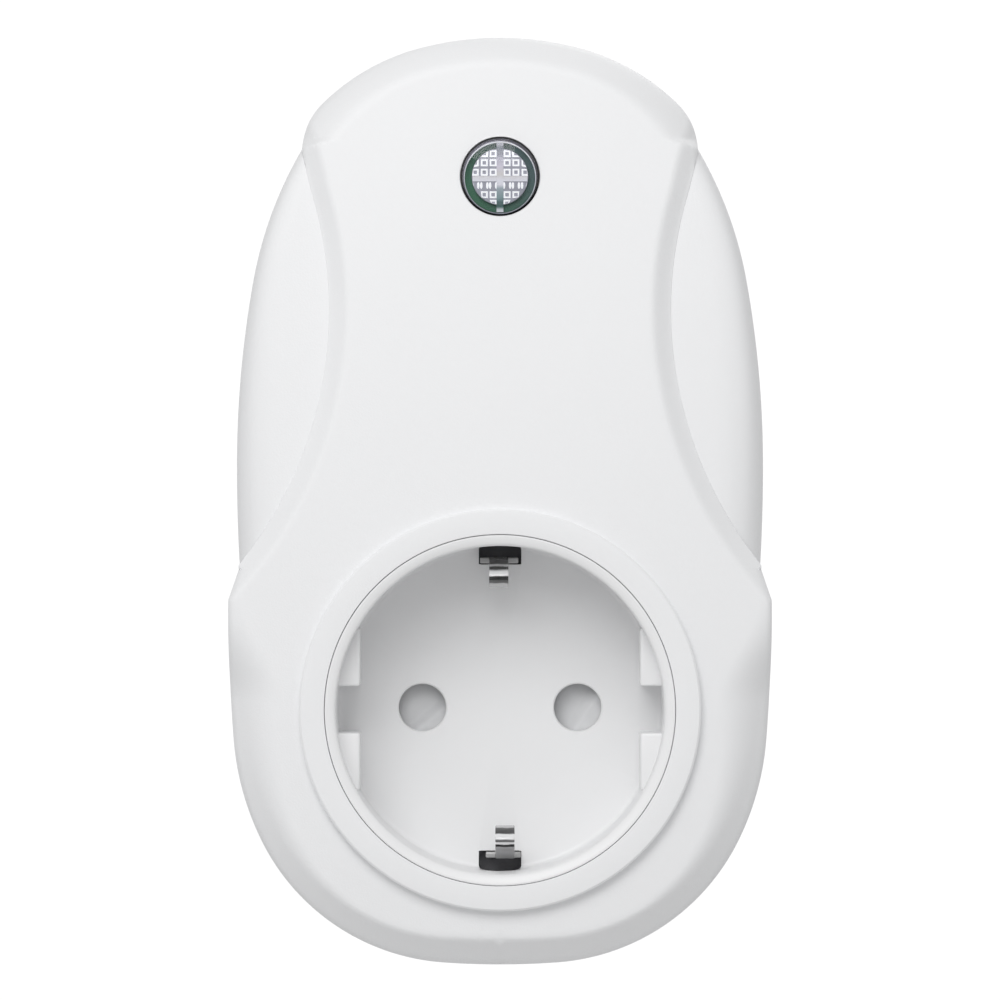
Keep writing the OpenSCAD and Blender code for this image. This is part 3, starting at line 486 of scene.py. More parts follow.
white_housing = material("white_housing", (0.858, 0.862, 0.872), 0.55, grain=0.35, grain_size=0.22,
                         vary=0.012)
white_insert = material("white_insert", (0.86, 0.862, 0.868), 0.38, grain=0.1, grain_size=0.4, vary=0.012)
nickel = material("nickel", (0.72, 0.71, 0.69), 0.2, metal=1.0, grain=0.25, grain_size=0.6, scratch=True)
diffuser_white = material("frosted_diffuser", (0.83, 0.82, 0.88), 0.35, grain=0.15, vary=0.05)
board_green = material("board_green", (0.035, 0.16, 0.10), 0.35, grain=0.3, grain_size=1.2, vary=0.2)
lens_clear = clear_material("clear_lens")
slot_looks = {
    "white_housing": white_housing,
    "white_insert": white_insert,
    "nickel": nickel,
    "frosted_diffuser": diffuser_white,
    "board_green": board_green,
    "clear_lens": lens_clear,
    "cream_plastic": material("cream_plastic", (0.72, 0.68, 0.56), 0.45, grain=0.2),
    "contact_brass": material("contact_brass", (0.75, 0.52, 0.2), 0.3, metal=1.0, grain=0.3, scratch=True),
    "steel_screw": material("steel_screw", (0.6, 0.6, 0.58), 0.34, metal=1.0, grain=0.4, scratch=True),
    "spring_steel": material("spring_steel", (0.5, 0.5, 0.52), 0.25, metal=1.0, grain=0.2),
    "black_plastic": material("black_plastic", (0.02, 0.02, 0.022), 0.3, grain=0.2, vary=0.2),
    "relay_black": material("relay_black", (0.025, 0.025, 0.028), 0.5, grain=0.4, vary=0.2),
    "relay_base_grey": material("relay_base_grey", (0.12, 0.12, 0.13), 0.5, grain=0.3, vary=0.1),
    "core_iron": material("core_iron", (0.35, 0.35, 0.36), 0.4, metal=1.0, grain=0.4, scratch=True),
    "ferrite": material("ferrite", (0.06, 0.06, 0.065), 0.55, grain=0.6, vary=0.2),
    "coil_copper": material("coil_copper", (0.55, 0.2, 0.08), 0.3, metal=1.0, grain=0.6, scratch=True),
    "tape_yellow": material("tape_yellow", (0.75, 0.5, 0.05), 0.3, grain=0.2),
    "capacitor_sleeve": material("capacitor_sleeve", (0.03, 0.04, 0.1), 0.25, grain=0.1, vary=0.1),
    "film_yellow": material("film_yellow", (0.75, 0.52, 0.06), 0.3, grain=0.2),
    "varistor_blue": material("varistor_blue", (0.04, 0.12, 0.4), 0.3, grain=0.4, grain_size=1.0),
    "fuse_ceramic": material("fuse_ceramic", (0.72, 0.67, 0.58), 0.3, grain=0.3),
    "shunt_alloy": material("shunt_alloy", (0.55, 0.4, 0.3), 0.3, metal=1.0, grain=0.3, scratch=True),
    "chip_black": material("chip_black", (0.02, 0.02, 0.02), 0.45, grain=0.4, vary=0.2),
    "shield_can": material("shield_can", (0.7, 0.71, 0.72), 0.25, metal=1.0, grain=0.2, scratch=True),
    "led_resin": material("led_resin", (0.85, 0.8, 0.5), 0.2, grain=0.1),
    "wire_brown": material("wire_brown", (0.2, 0.08, 0.03), 0.4, grain=0.2, vary=0.1),
    "wire_blue": material("wire_blue", (0.04, 0.12, 0.45), 0.4, grain=0.2, vary=0.1),
    "wire_grey": material("wire_grey", (0.3, 0.3, 0.32), 0.4, grain=0.2, vary=0.1),
    "label_silver": material("label_silver", (0.62, 0.63, 0.65), 0.42, grain=0.15, vary=0.02),
}
for part in frame["record"]["subparts"]:
    node = frame["nodes"][part["node"]]
    look = slot_looks[part["material_slot"]]
    node.data.materials.clear()
    node.data.materials.append(look)

# ---------------------------------------------------------------- front shell


def form_normals(x, y):
    step = 0.012
    h0, ok0 = form(x, y)

    def slope(dx, dy):
        ha, oka = form(x + dx, y + dy)
        hb, okb = form(x - dx, y - dy)
        central = (ha - hb) / (2 * step)
        ahead = (ha - h0) / step
        behind = (h0 - hb) / step
        return np.where(oka & okb, central, np.where(oka, ahead, np.where(okb, behind, 0)))

    gx, gy = slope(step, 0), slope(0, step)
    n = np.stack([-gx, -gy, np.ones_like(gx)], axis=1)
    return n / np.linalg.norm(n, axis=1, keepdims=True)


def boundary_chains(tris):
    """Directed edges used by one triangle only."""
    seen = {}
    for a, b, c in tris.tolist():
        for e in ((a, b), (b, c), (c, a)):
            seen[e] = True
    return [e for e in seen if (e[1], e[0]) not in seen]


def build_front_shell():
    xy, tris = form_mesh()
    used = np.unique(tris)
    index = -np.ones(len(xy), int)
    index[used] = np.arange(len(used))
    xy, tris = xy[used], index[tris]
    a, b, c = xy[tris[:, 0]], xy[tris[:, 1]], xy[tris[:, 2]]
    area = (b[:, 0] - a[:, 0]) * (c[:, 1] - a[:, 1]) - (b[:, 1] - a[:, 1]) * (c[:, 0] - a[:, 0])
    tris = np.where((area < 0)[:, None], tris[:, ::-1], tris)
    tris = tris[np.abs(area) > 1e-9]
    heights, _ = form(xy[:, 0], xy[:, 1])
    tops = np.column_stack([xy, heights])
    normals = form_normals(xy[:, 0], xy[:, 1])
    # round lip of the button opening
    gap = np.hypot(xy[:, 0], xy[:, 1] - BUTTON_Y) - (BUTTON_R + 0.22)
    lip = 0.3
    near = gap < lip
    tops[near, 2] -= edge_round(gap[near], lip)

    points, faces, corner_normals = [], [], []

    def add(p, f, n):
        base = len(points)
        points.extend(p)
        faces.extend([tuple(i + base for i in face) for face in f])
        corner_normals.extend(n)

    # the top sheet, with creases kept where the form turns too fast for one normal
    pa, pb, pc = tops[tris[:, 0]], tops[tris[:, 1]], tops[tris[:, 2]]
    face_n = np.cross(pb - pa, pc - pa)
    face_n /= np.maximum(np.linalg.norm(face_n, axis=1, keepdims=True), 1e-12)
    corner = normals[tris]
    close = np.einsum("fij,fj->fi", corner, face_n) > math.cos(math.radians(38))
    corner = np.where(close[:, :, None], corner, face_n[:, None, :])
    for side in (1, -1):
        flip = np.array([side, 1, 1])
        p = (tops * flip).tolist()
        f = tris if side > 0 else tris[:, ::-1]
        n = corner * flip if side > 0 else corner[:, ::-1] * flip
        add(p, f.tolist(), n.reshape(-1, 3).tolist())

    # the side wall, from the outline down to the joint with the rear shell
    rim = [e for e in boundary_chains(tris)
           if min(xy[e[0]][0], xy[e[1]][0]) > 1e-4 or abs(xy[e[0]][0] - xy[e[1]][0]) > 1e-4]
    rim = [e for e in rim if np.hypot(*xy[e[0]]) > COLLAR_R + 0.5
           and math.hypot(xy[e[0]][0], xy[e[0]][1] - BUTTON_Y) > BUTTON_R + 1]
    out_normal = {}
    edge_normal = {}
    for i, j in rim:
        d = xy[j] - xy[i]
        n = np.array([d[1], -d[0]])
        n /= max(np.linalg.norm(n), 1e-12)
        edge_normal[(i, j)] = n
        for k in (i, j):
            out_normal[k] = out_normal.get(k, np.zeros(2)) + n
    groove = 0.3
    levels = [(PARTING_Z + 2, 0.0), (PARTING_Z + groove, 0.0), (PARTING_Z + groove * 0.3, groove * 0.3),
              (PARTING_Z, groove)]
    for side in (1, -1):
        for i, j in rim:
            rows = []
            row_normals = []
            for k in (i, j):
                n = out_normal[k] / max(np.linalg.norm(out_normal[k]), 1e-9)
                if xy[k][0] < 1e-4:
                    n = np.array([0.0, math.copysign(1, n[1])])
                own = edge_normal[(i, j)]
                shade = n if n @ own > math.cos(math.radians(25)) else own
                column = [(xy[k][0], xy[k][1], tops[k][2])]
                shades = [(shade[0], shade[1], 0.0)]
                foot = OUTLINE_MIDDLE + (xy[k] - OUTLINE_MIDDLE) / OUTLINE_SCALE
                for z, inward in levels:
                    at = foot + (xy[k] - foot) * (z - PARTING_Z) / (tops[k][2] - PARTING_Z) - n * inward
                    column.append((at[0], at[1], z))
                    shades.append((shade[0], shade[1], -1.2 * inward / groove))
                rows.append(column)
                row_normals.append(shades)
            count = len(rows[0])
            p = [(side * q[0], q[1], q[2]) for q in rows[0] + rows[1]]
            f, n = [], []
            for r in range(count - 1):
                face = (r, r + 1, count + r + 1, count + r)
                if side < 0:
                    face = tuple(reversed(face))
                f.append(face)
                both = row_normals[0] + row_normals[1]
                for q in face:
                    v = np.array([side * both[q][0], both[q][1], both[q][2]])
                    n.append((v / np.linalg.norm(v)).tolist())
            add(p, f, n)
    obj = new_object("front_shell_skin", points, faces, white_housing)
    row_n = np.array(corner_normals)
    row_n = np.stack([row_n[:, 0], -row_n[:, 2], row_n[:, 1]], axis=1)
    obj.data.shade_smooth()
    obj.data.normals_split_custom_set(row_n.tolist())
    return obj


front = build_front_shell()
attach(front, "body")
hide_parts("front_shell")


def rounded_corner(centre, r, start, end, steps=5):
    angles = [math.radians(start + (end - start) * i / steps) for i in range(steps + 1)]
    return [(centre[0] + r * math.cos(a), centre[1] + r * math.sin(a)) for a in angles]


# raised collar round the socket, and the tube the button slides in
collar_profile = [(COLLAR_R + 0.05, 50.5), (COLLAR_R + 0.05, RIM_Z - 0.24), (COLLAR_R - 0.17, RIM_Z - 0.02),
                  (COLLAR_R - 0.3, RIM_Z)]
collar_profile += rounded_corner((INSERT_R + 0.18, RIM_Z - 0.12), 0.12, 90, 180)
collar_profile += [(INSERT_R + 0.06, 53.6), (INSERT_R + 0.06, 50.5)]
collar = new_object("socket_collar", *revolved(collar_profile, 256), white_housing)
smooth(collar, 25)
tube_r = BUTTON_R + 0.22
mouth = FRONT_Z - (BUTTON_Y - CROWN_Y) ** 2 / (2 * CROWN_R) - 0.25
tube_profile = [(tube_r, mouth), (tube_r, 47.9), (tube_r + 1.5, 47.9), (tube_r + 1.5, 43.5)]
tube = new_object("button_tube", *revolved(tube_profile, 96, (0, BUTTON_Y)), white_housing)
smooth(tube, 40)
for obj in (collar, tube):
    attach(obj, "body")

# ---------------------------------------------------------------- socket insert

floor_r = 0.6
profile = [(INSERT_R + 1.5, 34.0), (INSERT_R + 1.5, 37.3), (INSERT_R, 37.3), (INSERT_R, 53.68)]
profile += rounded_corner((INSERT_R - 0.12, 53.68), 0.12, 0, 80)
profile += [(20.95, 53.79), (20.2, 53.53), (20.0, 53.36), (19.89, 53.1), (RECESS_R, 52.75),
            (RECESS_R, FLOOR_Z + floor_r)]
profile += rounded_corner((RECESS_R - floor_r, FLOOR_Z + floor_r), floor_r, 0, -90)
profile += [(0.001, FLOOR_Z), (0.001, 34.0)]
insert = new_object("socket_insert_form", *revolved(profile, 256, closed=True), white_insert)
lug_half_h, notch_half_h, flat_x, lug_top = 9.8, 2.85, 17.0, RIM_Z - 4.5
for side in (1, -1):
    for end in (1, -1):
        low, high = notch_half_h, lug_half_h
        outline = [(flat_x, low), (20.3, low)]
        outline += [(math.sqrt(20.3 ** 2 - y * y), y) for y in np.linspace(low, high, 8)[1:]]
        outline += [(flat_x, high)]
        outline = [(side * x, end * y) for x, y in outline]
        if side * end < 0:
            outline.reverse()
        lug = new_object("lug", *prism(outline, 35.2, lug_top), white_insert)
        bevelled(lug, 0.28, 3, 50)
        cut(insert, lug, "UNION")
for x in (PIN_X, -PIN_X):
    hole = [(0.001, 33), (2.9, 33), (2.9, FLOOR_Z - 0.18), (3.08, FLOOR_Z + 0.02), (3.08, FLOOR_Z + 1),
            (0.001, FLOOR_Z + 1)]
    cutter = new_object("cutter", *revolved(hole, 96, (x, 0), closed=True), white_insert)
    cut(insert, cutter)
for end in (1, -1):
    slot = [(-2.6, 17.55), (-2.3, 17.5), (2.3, 17.5), (2.6, 17.55)]
    slot += rounded_corner((2.0, 19.3), 0.6, 0, 70) + [(1.2, 20.1), (0.0, 20.2), (-1.2, 20.1)]
    slot += rounded_corner((-2.0, 19.3), 0.6, 110, 180)
    slot = [(x, end * y) for x, y in slot]
    if end < 0:
        slot.reverse()
    cut(insert, new_object("cutter", *prism(slot, 33, FLOOR_Z + 4.5), white_insert))
smooth(insert, 30)
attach(insert, "body")
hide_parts("socket_insert")

# ---------------------------------------------------------------- side earth contacts


def strip(path, widths, thick):
    """Bent strip along (y, z) points, with a width at each point."""
    points, faces = [], []
    count = len(path)
    for i in range(count):
        a, b = path[max(i - 1, 0)], path[min(i + 1, count - 1)]
        run = np.array([b[0] - a[0], b[1] - a[1]], float)
        run /= np.linalg.norm(run)
        side = np.array([-run[1], run[0]]) * thick / 2
        w = widths[i] / 2
        y, z = path[i]
        points += [(-w, y - side[0], z - side[1]), (w, y - side[0], z - side[1]),
                   (w, y + side[0], z + side[1]), (-w, y + side[0], z + side[1])]
    for i in range(count - 1):
        a, b = i * 4, (i + 1) * 4
        for k in range(4):
            j = (k + 1) % 4
            faces.append((a + k, a + j, b + j, b + k))
    faces.append((3, 2, 1, 0))
    last = (count - 1) * 4
    faces.append((last, last + 1, last + 2, last + 3))
    return points, faces


def curve_through(points, per_leg=8):
    """Smooth path through (y, z) points."""
    out = []
    pts = [np.array(p, float) for p in points]
    for i in range(len(pts) - 1):
        p0, p1 = pts[max(i - 1, 0)], pts[i]
        p2, p3 = pts[i + 1], pts[min(i + 2, len(pts) - 1)]
        for k in range(per_leg):
            t = k / per_leg
            out.append(0.5 * (2 * p1 + (p2 - p0) * t + (2 * p0 - 5 * p1 + 4 * p2 - p3) * t * t
                              + (3 * p1 - 3 * p2 + p3 - p0) * t ** 3))
    out.append(pts[-1])
    return [tuple(p) for p in out]


BANDS_FROM, BANDS_SPAN, RIPPLE = 14.0, 5.0, 0.2


def painted_reflection_metal(name, stops):
    """Strip metal with painted reflections: bands of light and shade painted into its colour by distance from
    the socket's axis, in place of what its bends would reflect.
    """
    m = material(name, (0.7, 0.7, 0.7), 0.24, metal=0.3, grain=0.3, grain_size=0.5)
    nodes, links = m.node_tree.nodes, m.node_tree.links
    where = nodes.new("ShaderNodeTexCoord")
    ripple = nodes.new("ShaderNodeTexNoise")
    ripple.inputs["Scale"].default_value = 900
    links.new(where.outputs["Object"], ripple.inputs["Vector"])
    size = maths(nodes, links, "ABSOLUTE", place(nodes, links)["Z"])
    shifted = maths(nodes, links, "MULTIPLY_ADD", ripple.outputs["Fac"], RIPPLE * MM, size)
    low = (BANDS_FROM + RIPPLE / 2) * MM
    along = spread(nodes, links, shifted, low, low + BANDS_SPAN * MM)
    tones = [((at - BANDS_FROM) / BANDS_SPAN, (value, value, value * 1.01)) for at, value in stops]
    links.new(tone_ramp(nodes, links, along, tones), nodes["Principled BSDF"].inputs["Base Color"])
    return m


# painted reflections on the clips' tongues: (distance from the socket's axis in mm, brightness) stops of
# light and shade painted into the metal's colour
UPPER_PAINTED_REFLECTIONS = [(14.6, 0.6), (15.25, 0.55), (15.35, 0.14), (15.6, 0.13), (15.75, 0.02), (16.1, 0.02),
               (16.25, 1.0), (16.85, 1.0), (17.0, 0.1), (17.25, 0.1), (17.35, 0.9), (17.5, 0.8), (17.6, 0.13),
               (18.6, 0.12)]
LOWER_PAINTED_REFLECTIONS = [(14.1, 0.6), (14.35, 0.55), (14.45, 0.12), (15.05, 0.11), (15.2, 1.0), (15.75, 0.9),
               (15.9, 0.14), (16.1, 0.2), (16.2, 1.0), (16.5, 1.0), (16.6, 0.01), (16.8, 0.01), (16.9, 0.45),
               (17.8, 0.4)]
foot = [(0.0, 27.9), (17.0, 27.9), (17.85, 28.4), (18.0, 29.6), (18.0, 37.6)]
nickel_dull = material("nickel_cut_edge", (0.42, 0.42, 0.42), 0.35, metal=0.6, grain=0.3)
for name, turn, foot_shift, foot_w, tongue_shift, reach, bands in (
        ("earth_clip_upper", 1, -0.1, 4.7, -0.15, 15.15, UPPER_PAINTED_REFLECTIONS),
        ("earth_clip_lower", -1, 0.4, 4.3, 0.6, 14.5, LOWER_PAINTED_REFLECTIONS)):
    tongue = curve_through([(18.0, 37.2), (17.95, 39.4), (16.9, 42.2), (reach + 0.45, 44.4), (reach, 45.9),
                            (reach + 0.4, 47.3), (reach + 1.4, 48.5)], 8)
    painted_reflection_look = painted_reflection_metal(name + "_metal", bands)
    for piece, path, width, thick, shift, look in (
            (name, foot, foot_w, 0.7, foot_shift, nickel_dull),
            (name + "_tongue", tongue, 2.35, 0.75, tongue_shift, painted_reflection_look)):
        points, faces = strip([(turn * y, z) for y, z in path], [width] * len(path), thick)
        clip = new_object(piece, [(x + shift, y, z) for x, y, z in points], faces, look)
        bm = bmesh.new()
        bm.from_mesh(clip.data)
        bmesh.ops.recalc_face_normals(bm, faces=bm.faces)
        bm.to_mesh(clip.data)
        bm.free()
        bevelled(clip, 0.14, 3, 40)
        smooth(clip, 40)
        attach(clip, "body")
        if piece == "earth_clip_upper":
            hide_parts("front_earth_bracket")

# painted shade: a dark grey sheet behind each earth slot, standing in for the shade inside the slot
for end in (1, -1):
    painted_shade_outline = [(-2.9, end * 17.2), (2.9, end * 17.2), (2.9, end * 20.6), (-2.9, end * 20.6)]
    if end < 0:
        painted_shade_outline.reverse()
    shade = new_object("slot_painted_shade_upper" if end > 0 else "slot_painted_shade_lower", *prism(painted_shade_outline, 33.0, 33.9),
                       slot_looks["relay_base_grey"])
    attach(shade, "body")

# ---------------------------------------------------------------- button

lens_top = FRONT_Z - 2.5
lens_low = 46.8
lens_profile = [(3.5, lens_low), (6.0, lens_low), (6.0, lens_low + 1), (BUTTON_R, lens_low + 1),
                (BUTTON_R, lens_top - 0.42)]
lens_profile += rounded_corner((BUTTON_R - 0.42, lens_top - 0.42), 0.42, 8, 82, 6)
lens_profile += [(0.001, lens_top + 0.05), (0.001, lens_top - 1.2), (3.5, lens_top - 1.2)]
lens = new_object("button_lens_clear", *revolved(lens_profile, 128, (0, BUTTON_Y), closed=True), lens_clear)
smooth(lens, 40)
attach(lens, "button")
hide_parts("button_lens")

disc_top = lens_top - 1.45
disc_r = 3.42
CELL_COLUMNS = (-3.0, -1.9, -0.83, 0.86, 1.93, 3.04)
CELL_ROWS = (2.78, 1.67, 0.52, -1.08, -2.2, -3.25)
OVAL_ROW = 3
OVAL_APART, OVAL_HALF_W, OVAL_HALF_H = 0.365, 0.15, 0.42
CELL_W, CELL_H, CELL_LINE = 0.84, 0.84, 0.2


def inside_disc(outline, spare):
    return all(math.hypot(x, y) < disc_r + spare for x, y in outline)


def clipped(outline):
    """Points of an outline pulled back onto the disc's edge."""
    out = []
    for x, y in outline:
        r = math.hypot(x, y)
        k = min(1.0, (disc_r - 0.05) / r) if r > 0 else 1.0
        out.append((x * k, y * k))
    return out


def frame_outlines(cx, cy):
    """Four bars of a square frame."""
    w, h, t = CELL_W / 2, CELL_H / 2, CELL_LINE
    return [[(cx - w, cy - h), (cx + w, cy - h), (cx + w - t, cy - h + t), (cx - w + t, cy - h + t)],
            [(cx + w, cy - h), (cx + w, cy + h), (cx + w - t, cy + h - t), (cx + w - t, cy - h + t)],
            [(cx + w, cy + h), (cx - w, cy + h), (cx - w + t, cy + h - t), (cx + w - t, cy + h - t)],
            [(cx - w, cy + h), (cx - w, cy - h), (cx - w + t, cy - h + t), (cx - w + t, cy + h - t)]]


def oval(cx, cy, rx, ry):
    angles = [math.radians(a) for a in range(0, 360, 24)]
    return [(cx + rx * math.cos(a), cy + ry * math.sin(a)) for a in angles]


def near_button(parts, low, high):
    solids = []
    for outline in parts:
        outline = [(x, y + BUTTON_Y) for x, y in outline]
        solids.append(prism(outline, low, high))
    return joined(*solids)


bars = []
for row, cy in enumerate(CELL_ROWS):
    for cx in CELL_COLUMNS:
        if math.hypot(cx, cy) > disc_r + 0.15:
            continue
        if row == OVAL_ROW:
            shapes = [oval(cx + side * OVAL_APART, cy, OVAL_HALF_W, OVAL_HALF_H) for side in (-1, 1)]
        else:
            shapes = frame_outlines(cx, cy)
        bars += [clipped(shape) for shape in shapes if inside_disc(shape, 0.6)]
# the grid and the rib glow a little: painted light that makes them brighter than the lamps alone would
grid_white = material("grid_white", (0.97, 0.97, 0.985), 0.3, grain=0.1, vary=0.02, glow=0.3)
disc_grey = material("disc_grey", (0.38, 0.38, 0.44), 0.35, grain=0.2, vary=0.08)
rib_lilac = material("rib_lilac", (0.78, 0.75, 0.86), 0.3, grain=0.15, vary=0.12, glow=0.12)
disc_profile = [(1.7, 46.3), (1.7, disc_top - 0.8), (disc_r, disc_top - 0.8), (disc_r, disc_top - 0.05),
                (disc_r - 0.05, disc_top), (0.001, disc_top), (0.001, 46.3)]
disc = new_object("light_disc", *revolved(disc_profile, 96, (0, BUTTON_Y), closed=True), disc_grey)
smooth(disc, 40)
grid = new_object("light_grid", *near_button(bars, disc_top - 0.05, disc_top + 0.12), grid_white)
rib_reach = BUTTON_R - 0.3
ribs = [[(-0.42, -rib_reach), (0.42, -rib_reach), (0.42, rib_reach), (-0.42, rib_reach)],
        [(-disc_r + 0.1, -0.58), (-0.4, -0.58), (-0.4, 0.06), (-disc_r + 0.1, 0.06)],
        [(0.4, -0.58), (disc_r - 0.1, -0.58), (disc_r - 0.1, 0.06), (0.4, 0.06)]]
cross = new_object("light_cross", *near_button(ribs, disc_top - 0.3, disc_top + 0.17), rib_lilac)
# the rib's colour follows its height up the button: lilac in the middle, darker towards both ends of the
# disc, light at the very ends; the same tones feed its painted glow
rib_stops = [(-4.4, (0.75, 0.75, 0.78)), (-4.0, (0.6, 0.63, 0.66)), (-3.7, (0.05, 0.12, 0.11)),
             (-3.1, (0.06, 0.13, 0.13)), (-2.6, (0.2, 0.3, 0.31)), (-1.4, (0.36, 0.42, 0.46)),
             (-1.0, (0.75, 0.74, 0.8)), (-0.5, (0.8, 0.79, 0.85)), (0.3, (0.68, 0.65, 0.64)),
             (1.2, (0.68, 0.64, 0.72)), (2.2, (0.5, 0.48, 0.56)), (2.6, (0.3, 0.3, 0.36)),
             (3.6, (0.2, 0.22, 0.26)), (3.9, (0.6, 0.6, 0.66)), (4.4, (0.8, 0.8, 0.85))]
rib_nodes, rib_links = rib_lilac.node_tree.nodes, rib_lilac.node_tree.links
rib_low, rib_high = rib_stops[0][0], rib_stops[-1][0]
up_rib = spread(rib_nodes, rib_links, place(rib_nodes, rib_links)["Z"], (BUTTON_Y + rib_low) * MM,
                (BUTTON_Y + rib_high) * MM)
rib_tones = tone_ramp(rib_nodes, rib_links, up_rib,
                      [((at - rib_low) / (rib_high - rib_low), tone) for at, tone in rib_stops])
for socket in ("Base Color", "Emission Color"):
    rib_links.new(rib_tones, rib_nodes["Principled BSDF"].inputs[socket])
for obj in (disc, grid, cross):
    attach(obj, "button")
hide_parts("light_diffuser")


def slanting_tones(name, first, second, left_right, low_high, glow=0.0):
    """Plastic that goes from one tone to another across and up the button; on the lens edge and the lens wall
    this is painted light and shade.
    """
    m = material(name, first, 0.5, grain=0.02, vary=0.2, glow=glow)
    nodes, links = m.node_tree.nodes, m.node_tree.links
    at = place(nodes, links)
    reach = 4
    across = spread(nodes, links, at["X"], -reach * MM, reach * MM, *left_right)
    up = spread(nodes, links, at["Z"], (BUTTON_Y - reach) * MM, (BUTTON_Y + reach) * MM, *low_high)
    tone = nodes.new("ShaderNodeMix")
    tone.data_type = "RGBA"
    links.new(maths(nodes, links, "ADD", across, up), tone.inputs["Factor"])
    tone.inputs[6].default_value = (*first, 1)
    tone.inputs[7].default_value = (*second, 1)
    for socket in ("Base Color", "Emission Color"):
        links.new(tone.outputs[2], nodes["Principled BSDF"].inputs[socket])
    return m


ring_out = BUTTON_R - 0.26
ring_profile = [(disc_r + 0.02, disc_top - 0.8), (ring_out, disc_top - 0.8), (ring_out, disc_top - 0.35),
                (disc_r + 0.02, disc_top - 0.35)]
ring = new_object("light_ring", *revolved(ring_profile, 128, (0, BUTTON_Y), closed=True),
                  slanting_tones("ring_green", (0.02, 0.135, 0.065), (0.045, 0.09, 0.09), (-0.3, 0.6),
                                 (0.1, 0.7)))
# painted highlight: a thin ring at the lens's rim, coloured lighter towards the top and glowing a little, in
# place of light caught by the rim
edge_r, edge_w, edge_low = 4.28, 0.11, 0.16
edge_profile = [(edge_r, disc_top - 0.4), (edge_r + edge_w, disc_top - 0.4),
                (edge_r + edge_w, lens_top - 0.5), (edge_r + edge_w / 2, lens_top - 0.4),
                (edge_r, lens_top - 0.5)]
edge = new_object("lens_edge_painted_highlight", *revolved(edge_profile, 128, (0, BUTTON_Y - edge_low), closed=True),
                  slanting_tones("lens_edge_painted_highlight", (0.3, 0.33, 0.38), (0.9, 0.9, 0.95), (0.2, 0.3), (-0.1, 0.7),
                                 0.35))
# the lens edge sits a little low in the round lens, so the wall between the two is widest at the top
wall_steps, wall_z = 128, lens_top - 0.75
wall_points, wall_faces = [], []
for i in range(wall_steps):
    out_x, out_y = heading(360 * i / wall_steps)
    for r, low in ((edge_r + edge_w, edge_low), (BUTTON_R - 0.02, 0)):
        wall_points.append((r * out_x, BUTTON_Y - low + r * out_y, wall_z))
    after = (i + 1) % wall_steps
    wall_faces.append((2 * i, 2 * i + 1, 2 * after + 1, 2 * after))
# painted light and shade: the near-black wall is painted lighter grey towards the upper left, where light
# falls, darker to the lower right, and glows faintly
lens_wall = new_object("lens_wall", wall_points, wall_faces,
                       slanting_tones("lens_wall", (0.012, 0.012, 0.016), (0.3, 0.29, 0.34), (0.55, -0.1),
                                      (-0.1, 0.55), 0.1))
smooth(lens_wall, 40)
smooth(edge, 40)
smooth(ring, 40)
sleeve_profile = [(BUTTON_R + 0.015, 47.9), (BUTTON_R + 0.14, 47.9), (BUTTON_R + 0.14, lens_top - 0.6),
                  (BUTTON_R + 0.015, lens_top - 0.52)]
sleeve = new_object("button_sleeve", *revolved(sleeve_profile, 128, (0, BUTTON_Y), closed=True),
                    slot_looks["black_plastic"])
smooth(sleeve, 40)
for obj, slot_name in ((ring, "board_green"), (edge, "clear_lens"), (lens_wall, "black_plastic"),
                       (sleeve, "black_plastic")):
    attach(obj, "button")

# ---------------------------------------------------------------- shutter

SHUTTER_TOP = 33.25
SHUTTER_LOW = 31.9
SHUTTER_R = 13.2


def shutter_height(x, y, side):
    """Ramps on a shutter blade, in line with the pin holes."""
    if side < 0:
        rise = 0.62 * (x * 0.62 - y * 0.78 - 0.75)
    else:
        rise = 0.5 * (x * 0.84 - y * 0.54 - 0.05)
    return SHUTTER_TOP + min(max(rise, 0.0), 0.62)


shutter_parts = []
for side in (1, -1):
    blade = [(0.0, 0.0)]
    blade += [tuple(side * SHUTTER_R * heading(a)) for a in range(-19, 20, 2)]
    shutter_parts.append(prism(blade, SHUTTER_LOW, SHUTTER_TOP - 0.05))
    rings, spokes = 14, 48
    pad_r = 3.3
    points = [(side * PIN_X, 0.0, shutter_height(0, 0, side))]
    for i in range(1, rings + 1):
        for k in range(spokes):
            x = pad_r * i / rings * math.cos(2 * math.pi * k / spokes)
            y = pad_r * i / rings * math.sin(2 * math.pi * k / spokes)
            points.append((side * PIN_X + x, y, shutter_height(x, y, side)))
    faces = [(0, 1 + k, 1 + (k + 1) % spokes) for k in range(spokes)]
    for i in range(rings - 1):
        a, b = 1 + i * spokes, 1 + (i + 1) * spokes
        faces += [(a + k, b + k, b + (k + 1) % spokes, a + (k + 1) % spokes) for k in range(spokes)]
    pad_edge, foot_ring = 1 + (rings - 1) * spokes, len(points)
    points += [(points[pad_edge + k][0], points[pad_edge + k][1], SHUTTER_LOW) for k in range(spokes)]
    faces += [(pad_edge + k, foot_ring + k, foot_ring + (k + 1) % spokes, pad_edge + (k + 1) % spokes)
              for k in range(spokes)]
    shutter_parts.append((points, faces))
hub = revolved([(1.56, SHUTTER_LOW), (3.3, SHUTTER_LOW), (3.3, 33.6), (1.56, 33.6)], 64, closed=True)
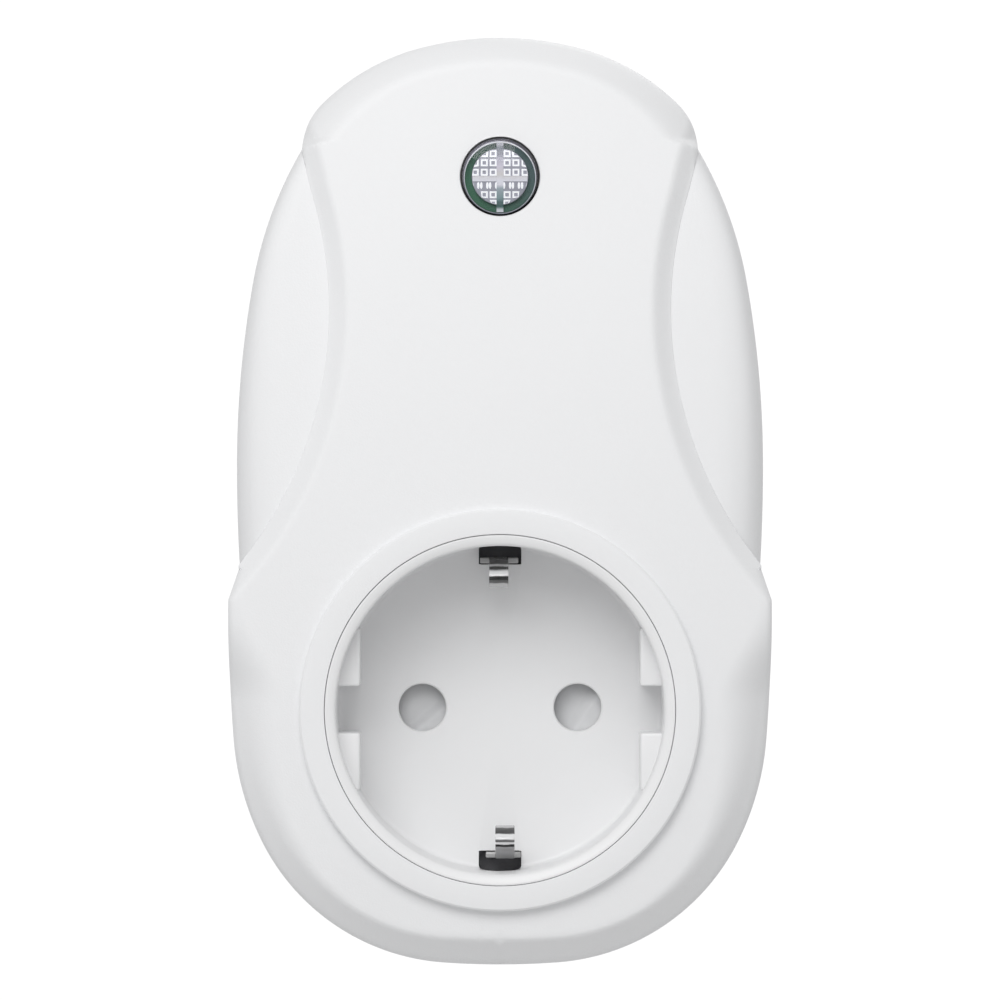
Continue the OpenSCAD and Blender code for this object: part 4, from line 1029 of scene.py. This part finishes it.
shutter_white = material("shutter_white", (0.72, 0.725, 0.735), 0.45, grain=0.1, vary=0.012)
shutter = new_object("shutter_blades", *joined(hub, *shutter_parts), shutter_white)
smooth(shutter, 30)
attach(shutter, "shutter")
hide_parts("safety_shutter")

# ---------------------------------------------------------------- stage and light

floor_material = material("floor", (0.8, 0.8, 0.8), 0.7, grain=0.05, vary=0.01)
FLOOR_Y, FLOOR_HALF = -330, 2500
floor_corners = [(x * FLOOR_HALF, FLOOR_Y, z * FLOOR_HALF) for x, z in ((-1, -1), (1, -1), (1, 1), (-1, 1))]
floor = new_object("floor", floor_corners, [(3, 2, 1, 0)], floor_material)

world = bpy.data.worlds.new("studio")
world.use_nodes = True
wn, wl = world.node_tree.nodes, world.node_tree.links
toward = place(wn, wl, "Generated")
height_glow = spread(wn, wl, toward["Z"], -0.7, 0.8, 0.66, 0.44)
side_glow = spread(wn, wl, maths(wn, wl, "ABSOLUTE", toward["X"]), 0.3, 0.95, 0, 0.16)
blend = wn.new("ShaderNodeMix")
blend.data_type = "FLOAT"
wl.new(spread(wn, wl, toward["Y"], 0.75, 0.97), blend.inputs["Factor"])
wl.new(maths(wn, wl, "ADD", height_glow, side_glow), blend.inputs[2])
blend.inputs[3].default_value = 1.05
wl.new(blend.outputs[0], wn["Background"].inputs["Strength"])
wn["Background"].inputs["Color"].default_value = (1, 1, 1, 1)
bpy.context.scene.world = world


def area_light(name, at, target, size, power):
    data = bpy.data.lights.new(name, "AREA")
    data.shape = "SQUARE"
    data.size = size
    data.energy = power
    obj = bpy.data.objects.new(name, data)
    obj.location = at
    obj.rotation_euler = (Vector(target) - Vector(at)).to_track_quat("-Z", "Y").to_euler()
    bpy.context.scene.collection.objects.link(obj)


area_light("key", (-0.09, -0.48, 0.30), (0, -0.05, 0.03), 0.34, 1.42)
area_light("back", (0.3, 0.9, 0.8), (0, 0, 0.03), 0.6, 3.0)

bpy.context.scene.view_settings.view_transform = "Standard"
bpy.context.scene.view_settings.look = "None"
